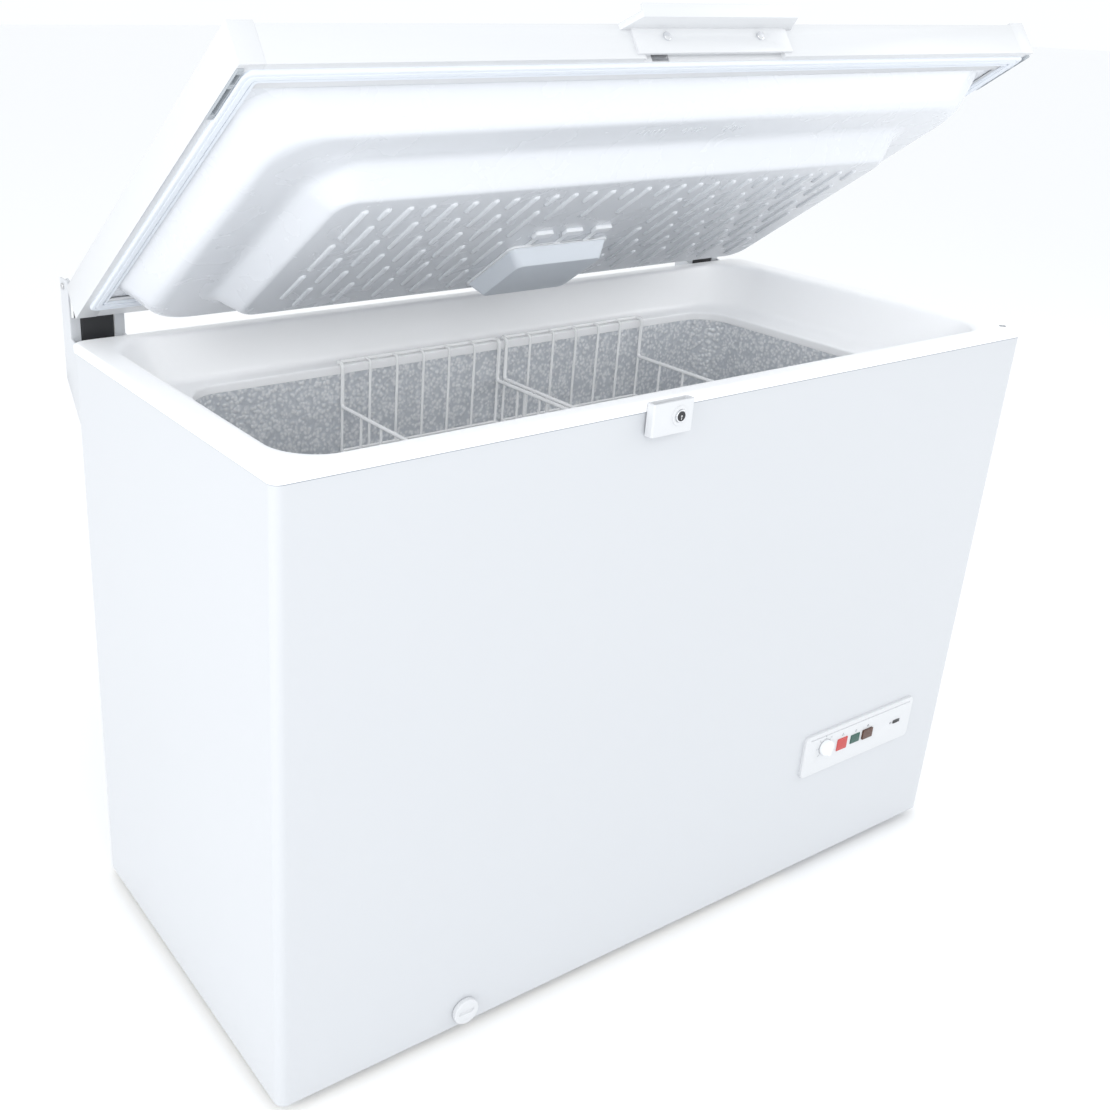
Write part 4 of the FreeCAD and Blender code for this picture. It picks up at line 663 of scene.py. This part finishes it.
class FREEZER_OT_bay(bpy.types.Operator):
    """Finish the compressor, its tubes and the grille"""
    bl_idname = "freezer.bay"
    bl_label = "Finish the machine bay"

    def execute(self, context):
        paint(finish("Black steel paint", (0.018, 0.018, 0.020), 0.32, drift=0.3, patch=10.0,
                     grain=0.00006, grain_scale=400.0, coat=0.3), "compressor")
        paint(rubber(), "compressor_grommets")
        paint(black_plastic(), "start_relay_box")
        paint(copper(), "filter_drier", "suction_tube", "discharge_tube")
        paint(white_plastic(), "side_grille", "drain_tube")
        paint(finish("Grey moulding", (0.42, 0.44, 0.46), 0.5, drift=0.1, patch=20.0, grain=0.00003),
              "thermostat_body")
        low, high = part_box("compressor_grommets")
        middle = (low + high) / 2
        shape = bmesh.new()
        radius, tube, z = 0.0686, 0.0022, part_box("compressor")[0].z + 0.095
        for i in range(64):
            for j in range(8):
                a, b = math.tau * i / 64, math.tau * j / 8
                shape.verts.new((middle.x + (radius + tube * math.cos(b)) * math.cos(a),
                                 middle.y + (radius + tube * math.cos(b)) * math.sin(a),
                                 z + tube * 0.8 * math.sin(b)))
        shape.verts.ensure_lookup_table()
        for i in range(64):
            for j in range(8):
                k, m = (i + 1) % 64, (j + 1) % 8
                shape.faces.new([shape.verts[8 * p + q] for p, q in ((i, j), (k, j), (k, m), (i, m))])
        new_piece("compressor_weld", mesh_of(shape, "compressor_weld"), "cabinet",
                  bpy.data.materials["Black steel paint"])
        return {"FINISHED"}


class FREEZER_OT_panel(bpy.types.Operator):
    """Mould the control panel, print its dial and fit its lenses"""
    bl_idname = "freezer.panel"
    bl_label = "Dress the control panel"

    def execute(self, context):
        s = context.scene.freezer_panel
        softened("control_panel", "cabinet", white_plastic(), 0.0009)
        softened("thermostat_knob", "knob",
                 finish("Glossy knob", (0.84, 0.86, 0.88), 0.22, drift=0.03, patch=60.0, coat=0.3), 0.0006)
        lenses = (("alarm_lamp", "Red lens", (0.54, 0.040, 0.037), 0.0005),
                  ("power_lamp", "Green lens", (0.0, 0.072, 0.050), 0.0005))
        for node, name, colour, width in lenses:
            softened(node, "cabinet",
                     lens(name, colour), width)
        softened("fast_freeze_switch", "switch", lens("Amber rocker", (0.080, 0.026, 0.013)),
                 0.0006)
        softened("indicator_window", "cabinet",
                 finish("Black window", (0.008, 0.008, 0.010), 0.12, drift=0.2, patch=60.0, coat=0.6), 0.0004)
        low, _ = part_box("control_panel")
        face = low.y
        knob_low, knob_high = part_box("thermostat_knob")
        cx, cz = (knob_low.x + knob_high.x) / 2, (knob_low.z + knob_high.z) / 2
        ink = 0.00004
        shape = bmesh.new()
        first, last = 225.0, -45.0
        for i in range(s.settings):
            turn = math.radians(first + (last - first) * i / (s.settings - 1))
            near = s.dial_radius - 0.0034
            bar_on_wall(shape, cx + near * math.cos(turn), cz + near * math.sin(turn), 0.0017, 0.0005,
                        face, ink, turn)
        arc = s.dial_radius - 0.0044
        disc_on_wall(shape, cx, cz, arc, arc + 0.0003, face, ink, 60, first, last)
        for node in ("alarm_lamp", "power_lamp", "fast_freeze_switch"):
            lamp_low, lamp_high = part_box(node)
            x, z = (lamp_low.x + lamp_high.x) / 2, lamp_high.z + 0.0035
            if node == "alarm_lamp":
                for turn in (90, 210, 330):
                    a = math.radians(turn)
                    bar_on_wall(shape, x - 0.0012 * math.cos(a), z + 0.0018 - 0.0012 * math.sin(a), 0.0042,
                                0.0005, face, ink, a + math.pi / 2)
            elif node == "power_lamp":
                disc_on_wall(shape, x, z + 0.0018, 0.0014, 0.0019, face, ink)
            else:
                for turn in (0, 60, 120):
                    bar_on_wall(shape, x, z + 0.0018, 0.0046, 0.0005, face, ink, math.radians(turn))
        window_low, window_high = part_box("indicator_window")
        mark_x = window_low.x - 0.0055
        mark_z = (window_low.z + window_high.z) / 2
        disc_on_wall(shape, mark_x, mark_z, 0.0011, 0.0019, face, ink)
        new_piece("panel_marks", mesh_of(shape, "panel_marks"), "cabinet",
                  finish("Panel ink", s.ink, 0.6, drift=0.1, patch=80.0))
        for i in range(s.settings):
            turn = math.radians(first + (last - first) * i / (s.settings - 1))
            text = bpy.data.curves.new(f"dial_number_{i}", "FONT")
            text.body = str(i)
            text.size = s.numeral
            text.extrude = ink
            text.align_x, text.align_y = "CENTER", "CENTER"
            holder = bpy.data.objects.new(f"dial_number_{i}", text)
            context.scene.collection.objects.link(holder)
            context.view_layer.update()
            mesh = bpy.data.meshes.new_from_object(holder.evaluated_get(context.evaluated_depsgraph_get()))
            bpy.data.objects.remove(holder)
            mesh.transform(Matrix.Translation((cx + s.dial_radius * math.cos(turn), face,
                                               cz + s.dial_radius * math.sin(turn)))
                           @ Matrix.Rotation(math.radians(90), 4, "X"))
            mesh.name = f"dial_number_{i}"
            new_piece(f"dial_number_{i}", mesh, "cabinet", bpy.data.materials["Panel ink"])
        return {"FINISHED"}


class FREEZER_OT_lock(bpy.types.Operator):
    """Mould the lock bracket and fit the keyhole"""
    bl_idname = "freezer.lock"
    bl_label = "Fit the lock"

    def execute(self, context):
        softened("lock_bracket", "cabinet", white_plastic(), 0.0014)
        softened("lock_barrel", "lock", chrome(), 0.0007)
        paint(bright_steel(), "lock_hook")
        low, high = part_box("lock_barrel")
        x, face = (low.x + high.x) / 2, low.y
        z = next(j for j in frame["joints"] if j["name"] == "lock_turn")["pos_m"][2]
        shape = bmesh.new()
        disc_on_wall(shape, x, z, 0.0012, 0.0056, face - 0.0001, 0.00025, 40)
        new_piece("keyhole_plate", mesh_of(shape, "keyhole_plate"), "lock", black_plastic())
        shape = bmesh.new()
        disc_on_wall(shape, x, z, 0.00002, 0.0013, face - 0.0002, 0.0003, 24)
        bar_on_wall(shape, x, z - 0.0022, 0.0012, 0.0034, face - 0.0003, 0.0002)
        new_piece("key_slot", mesh_of(shape, "key_slot"), "lock", bright_steel())
        return {"FINISHED"}


class FREEZER_OT_drain(bpy.types.Operator):
    """Mould the drain plug"""
    bl_idname = "freezer.drain"
    bl_label = "Mould the drain plug"

    def execute(self, context):
        softened("drain_plug", "plug", white_plastic(), 0.0013)
        return {"FINISHED"}


class FREEZER_OT_lid_frame(bpy.types.Operator):
    """Mould the lid's rails, handle and clips, and paint its steel top"""
    bl_idname = "freezer.lid_frame"
    bl_label = "Mould the lid frame"

    def execute(self, context):
        for node, width in (("lid_front_rail", 0.0022), ("lid_back_rail", 0.0020),
                            ("lid_left_rail", 0.0016), ("lid_right_rail", 0.0016)):
            softened(node, "lid", white_plastic(), width)
        softened("lid_handle", "lid", white_plastic(), 0.0012)
        grey = finish("Grey buffer", (0.40, 0.43, 0.46), 0.5, drift=0.1, patch=30.0, grain=0.00003)
        for node in ("lid_clip_left", "lid_clip_right"):
            softened(node, "lid", grey, 0.0004)
        softened("handle_screws", "lid", chrome(), 0.0003)
        paint(enamel(), "lid_top_sheet")
        paint(bright_steel(), "lock_striker")
        return {"FINISHED"}


class FREEZER_OT_lid_liner(bpy.types.Operator):
    """Form the lid's liner with soft steps and raised ribs"""
    bl_idname = "freezer.lid_liner"
    bl_label = "Form the lid liner"

    def execute(self, context):
        s = context.scene.freezer_lid
        roll = s.step_soft / MM
        mouth, frame_z = grown(LID_OPENING, -0.5), LID_UNDERSIDE + 3.2
        stations = [(*grown(LID_OPENING, 8), 2, frame_z + 0.4, 0), (*mouth, 4, frame_z + 0.2, 0.1),
                    (*mouth, 50, frame_z, 1.0),
                    (*FLAT_OUT, 54, FLAT_Z, roll), (*FLAT_IN, 54, FLAT_Z, roll),
                    (*PLATEAU, 22, PLATEAU_Z, roll * 0.7), (*grown(PLATEAU, -7), 20, PLATEAU_Z, 0)]
        liner = ring_skin("lid_liner_formed", stations, capped=True, matrix=SHUT_TO_OPEN, per_corner=20)
        new_piece("lid_liner_formed", liner, "lid", formed_sheet(),
                  ("lid_liner", "lid_foam"))
        shape = bmesh.new()
        side, front, back = (v * MM for v in PLATEAU)
        columns = int((2 * side - 0.06) // s.rib_pitch)
        for i in range(columns + 1):
            x = -columns * s.rib_pitch / 2 + i * s.rib_pitch
            start = front + 0.020 - (s.rib_run / 2 if i % 2 else 0)
            while start < back - 0.040:
                near, far = max(start, front + 0.020), min(start + s.rib_run - s.rib_space, back - 0.016)
                beside = x < LAMP_SPAN[0] - 0.012 or x > LAMP_SPAN[1] + 0.012
                if far - near > 0.025 and (beside or far < LAMP_NEAR - 0.050):
                    pill(shape, x, near, far, s.rib_width, PLATEAU_Z * MM, s.rib_rise, SHUT_TO_OPEN)
                start += s.rib_run
        for group in range(3):
            for i in range(5):
                x = -0.052 + group * 0.062 + i * 0.0075
                pill(shape, x, -0.204, -0.204 + (0.013 if i % 2 else 0.009), 0.0022, FLAT_Z * MM,
                     0.0007, SHUT_TO_OPEN, points=5)
        new_piece("lid_liner_ribs", mesh_of(shape, "lid_liner_ribs", 50.0), "lid",
                  formed_sheet())
        return {"FINISHED"}


class FREEZER_OT_seal(bpy.types.Operator):
    """Extrude the gasket round the lid"""
    bl_idname = "freezer.seal"
    bl_label = "Extrude the gasket"

    def execute(self, context):
        s = context.scene.freezer_finish
        profile = ((0, 0, 0), (0, 2.5, 0.6), (1.6, 3.7, 0.8), (4.4, 3.7, 0.3), (5.0, 2.9, 0.3),
                   (6.0, 2.9, 0.3), (6.6, 3.7, 0.3), (11.6, 3.7, 0.9), (13.0, 2.6, 0.5), (13.0, 0.6, 0.3),
                   (14.0, 0.6, 0.3), (14.2, 2.5, 0.5), (17.6, 2.5, 0.5), (18.0, 0.2, 0))
        stations = [(*grown(SEAL, -u), max(10 - u * 0.4, 3), LID_UNDERSIDE - v, r)
                    for u, v, r in profile]
        seal = ring_skin("lid_seal", stations, matrix=SHUT_TO_OPEN, per_corner=6)
        smooth(seal, 60)
        new_piece("lid_seal", seal, "lid",
                  finish("Soft seal", s.seal, 0.46, drift=0.05, patch=12.0, sheen=0.1), ("lid_gasket",))
        return {"FINISHED"}


class FREEZER_OT_lamp(bpy.types.Operator):
    """Fit the lamp under the lid"""
    bl_idname = "freezer.lamp"
    bl_label = "Fit the lamp"

    def execute(self, context):
        clear = finish("Frosted cover", (0.70, 0.745, 0.80), 0.36, drift=0.03, patch=20.0, coat=0.2)
        softened("lamp_cover", "lid", clear, 0.0016)
        softened("lamp_base", "lid",
                 finish("Lamp tray", (0.88, 0.90, 0.93), 0.32, drift=0.03, patch=20.0), 0.0007)
        paint(finish("Lamp glass", (0.95, 0.94, 0.88), 0.08, transmission=0.6, drift=0.03, patch=60.0),
              "lamp_bulb")
        return {"FINISHED"}


class FREEZER_OT_hinges(bpy.types.Operator):
    """Wind the hinge springs and finish the hinge sheet metal"""
    bl_idname = "freezer.hinges"
    bl_label = "Fit the hinges"

    def execute(self, context):
        for side in ("left", "right"):
            softened(f"hinge_{side}_bracket", "cabinet", enamel(), 0.0007)
            softened(f"hinge_{side}_leaf", "lid", enamel(), 0.0006)
            softened(f"hinge_{side}_cover", "cabinet", black_plastic(), 0.0012)
            softened(f"hinge_{side}_pin", "cabinet", bright_steel(), 0.0006)
            low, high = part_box(f"hinge_{side}_spring")
            centre_y, centre_z = (low.y + high.y) / 2, (low.z + high.z) / 2
            wire = 0.00125
            radius = (high.y - low.y) / 2 - wire
            turns = int((high.x - low.x) / (wire * 2.3))
            steps = turns * 20
            shape = bmesh.new()
            rows = []
            for i in range(steps + 1):
                turn = math.tau * i / 20
                x = low.x + wire + (high.x - low.x - 2 * wire) * i / steps
                out = Vector((0, math.cos(turn), math.sin(turn)))
                centre = Vector((x, centre_y, centre_z)) + out * radius
                rows.append([shape.verts.new(centre + out * wire * math.cos(a)
                                             + Vector((1, 0, 0)) * wire * math.sin(a))
                             for a in (math.tau * k / 8 for k in range(8))])
            for a, b in zip(rows, rows[1:]):
                for k in range(8):
                    m = (k + 1) % 8
                    shape.faces.new((a[k], a[m], b[m], b[k]))
            shape.faces.new(rows[0])
            shape.faces.new(rows[-1][::-1])
            new_piece(f"hinge_{side}_coil", mesh_of(shape, f"hinge_{side}_coil", 60), "cabinet",
                      bright_steel(), (f"hinge_{side}_spring",))
        return {"FINISHED"}


class FREEZER_OT_stage(bpy.types.Operator):
    """Lay the pale floor, light it softly and set the camera"""
    bl_idname = "freezer.stage"
    bl_label = "Set the stage"

    def execute(self, context):
        s = context.scene.freezer_stage
        scene = context.scene
        floor_mesh = bpy.data.meshes.new("floor")
        shape = bmesh.new()
        bmesh.ops.create_grid(shape, x_segments=8, y_segments=8, size=30.0)
        shape.to_mesh(floor_mesh)
        shape.free()
        floor = bpy.data.objects.new("floor", floor_mesh)
        scene.collection.objects.link(floor)
        floor_mesh.materials.append(finish("Pale floor", s.floor, 0.85, drift=0.0, patch=0.5))
        world = bpy.data.worlds.new("Room")
        world.use_nodes = True
        world.node_tree.nodes["Background"].inputs["Color"].default_value = (0.965, 0.985, 1.0, 1)
        world.node_tree.nodes["Background"].inputs["Strength"].default_value = s.sky
        scene.world = world
        for name, power, size, at, target in (
                ("side_light", s.key, 3.0, (-4.0, -0.9, 1.9), (-0.3, 0, 0.5)),
                ("front_light", s.key * 0.30, 1.6, (-1.2, -2.4, 2.0), (0.0, 0.0, 0.7)),
                ("right_light", s.key * 0.42, 2.0, (3.0, -1.6, 1.9), (0.0, 0.0, 0.8))):
            data = bpy.data.lights.new(name, "AREA")
            data.energy, data.size = power, size
            light = bpy.data.objects.new(name, data)
            light.location = at
            light.rotation_euler = (Vector(target) - Vector(at)).to_track_quat("-Z", "Y").to_euler()
            scene.collection.objects.link(light)
        data = bpy.data.cameras.new("camera")
        data.lens, data.shift_x, data.shift_y = s.lens, *CAMERA_SHIFT
        azimuth, elevation, roll = (math.radians(v) for v in CAMERA_TURN)
        back = Vector((math.sin(azimuth) * math.cos(elevation), -math.cos(azimuth) * math.cos(elevation),
                       math.sin(elevation)))
        right = (-back).cross(Vector((0, 0, 1))).normalized()
        up = right.cross(-back)
        across = right * math.cos(roll) + up * math.sin(roll)
        upward = up * math.cos(roll) - right * math.sin(roll)
        camera = bpy.data.objects.new("camera", data)
        camera.matrix_world = Matrix((across, upward, back)).transposed().to_4x4()
        camera.location = CAMERA_AT
        scene.collection.objects.link(camera)
        scene.camera = camera
        scene.view_settings.view_transform = "Standard"
        return {"FINISHED"}


class FREEZER_PT_panel(bpy.types.Panel):
    """Sidebar panel of the freezer's finish"""
    bl_idname = "FREEZER_PT_panel"
    bl_label = "Chest freezer"
    bl_space_type = "VIEW_3D"
    bl_region_type = "UI"
    bl_category = "Freezer"

    def draw(self, context):
        for settings in (context.scene.freezer_finish, context.scene.freezer_lid,
                         context.scene.freezer_panel, context.scene.freezer_stage):
            box = self.layout.box()
            for name in settings.__annotations__:
                box.prop(settings, name)
        for operator in OPERATORS:
            self.layout.operator(operator.bl_idname)


SETTINGS = {"freezer_finish": FinishSettings, "freezer_lid": LidSettings,
            "freezer_panel": PanelSettings, "freezer_stage": StageSettings}
OPERATORS = (FREEZER_OT_cabinet, FREEZER_OT_rim, FREEZER_OT_tub, FREEZER_OT_baskets, FREEZER_OT_bay,
             FREEZER_OT_panel, FREEZER_OT_lock, FREEZER_OT_drain, FREEZER_OT_lid_frame,
             FREEZER_OT_lid_liner, FREEZER_OT_seal, FREEZER_OT_lamp, FREEZER_OT_hinges, FREEZER_OT_stage)


def register():
    for settings in SETTINGS.values():
        bpy.utils.register_class(settings)
    for operator in OPERATORS:
        bpy.utils.register_class(operator)
    bpy.utils.register_class(FREEZER_PT_panel)
    for name, settings in SETTINGS.items():
        setattr(bpy.types.Scene, name, PointerProperty(type=settings))


def unregister():
    for name in SETTINGS:
        delattr(bpy.types.Scene, name)
    bpy.utils.unregister_class(FREEZER_PT_panel)
    for operator in reversed(OPERATORS):
        bpy.utils.unregister_class(operator)
    for settings in SETTINGS.values():
        bpy.utils.unregister_class(settings)


def main():
    register()
    for operator in OPERATORS:
        group, name = operator.bl_idname.split(".")
        getattr(getattr(bpy.ops, group), name)()


if __name__ == "__main__":
    main()
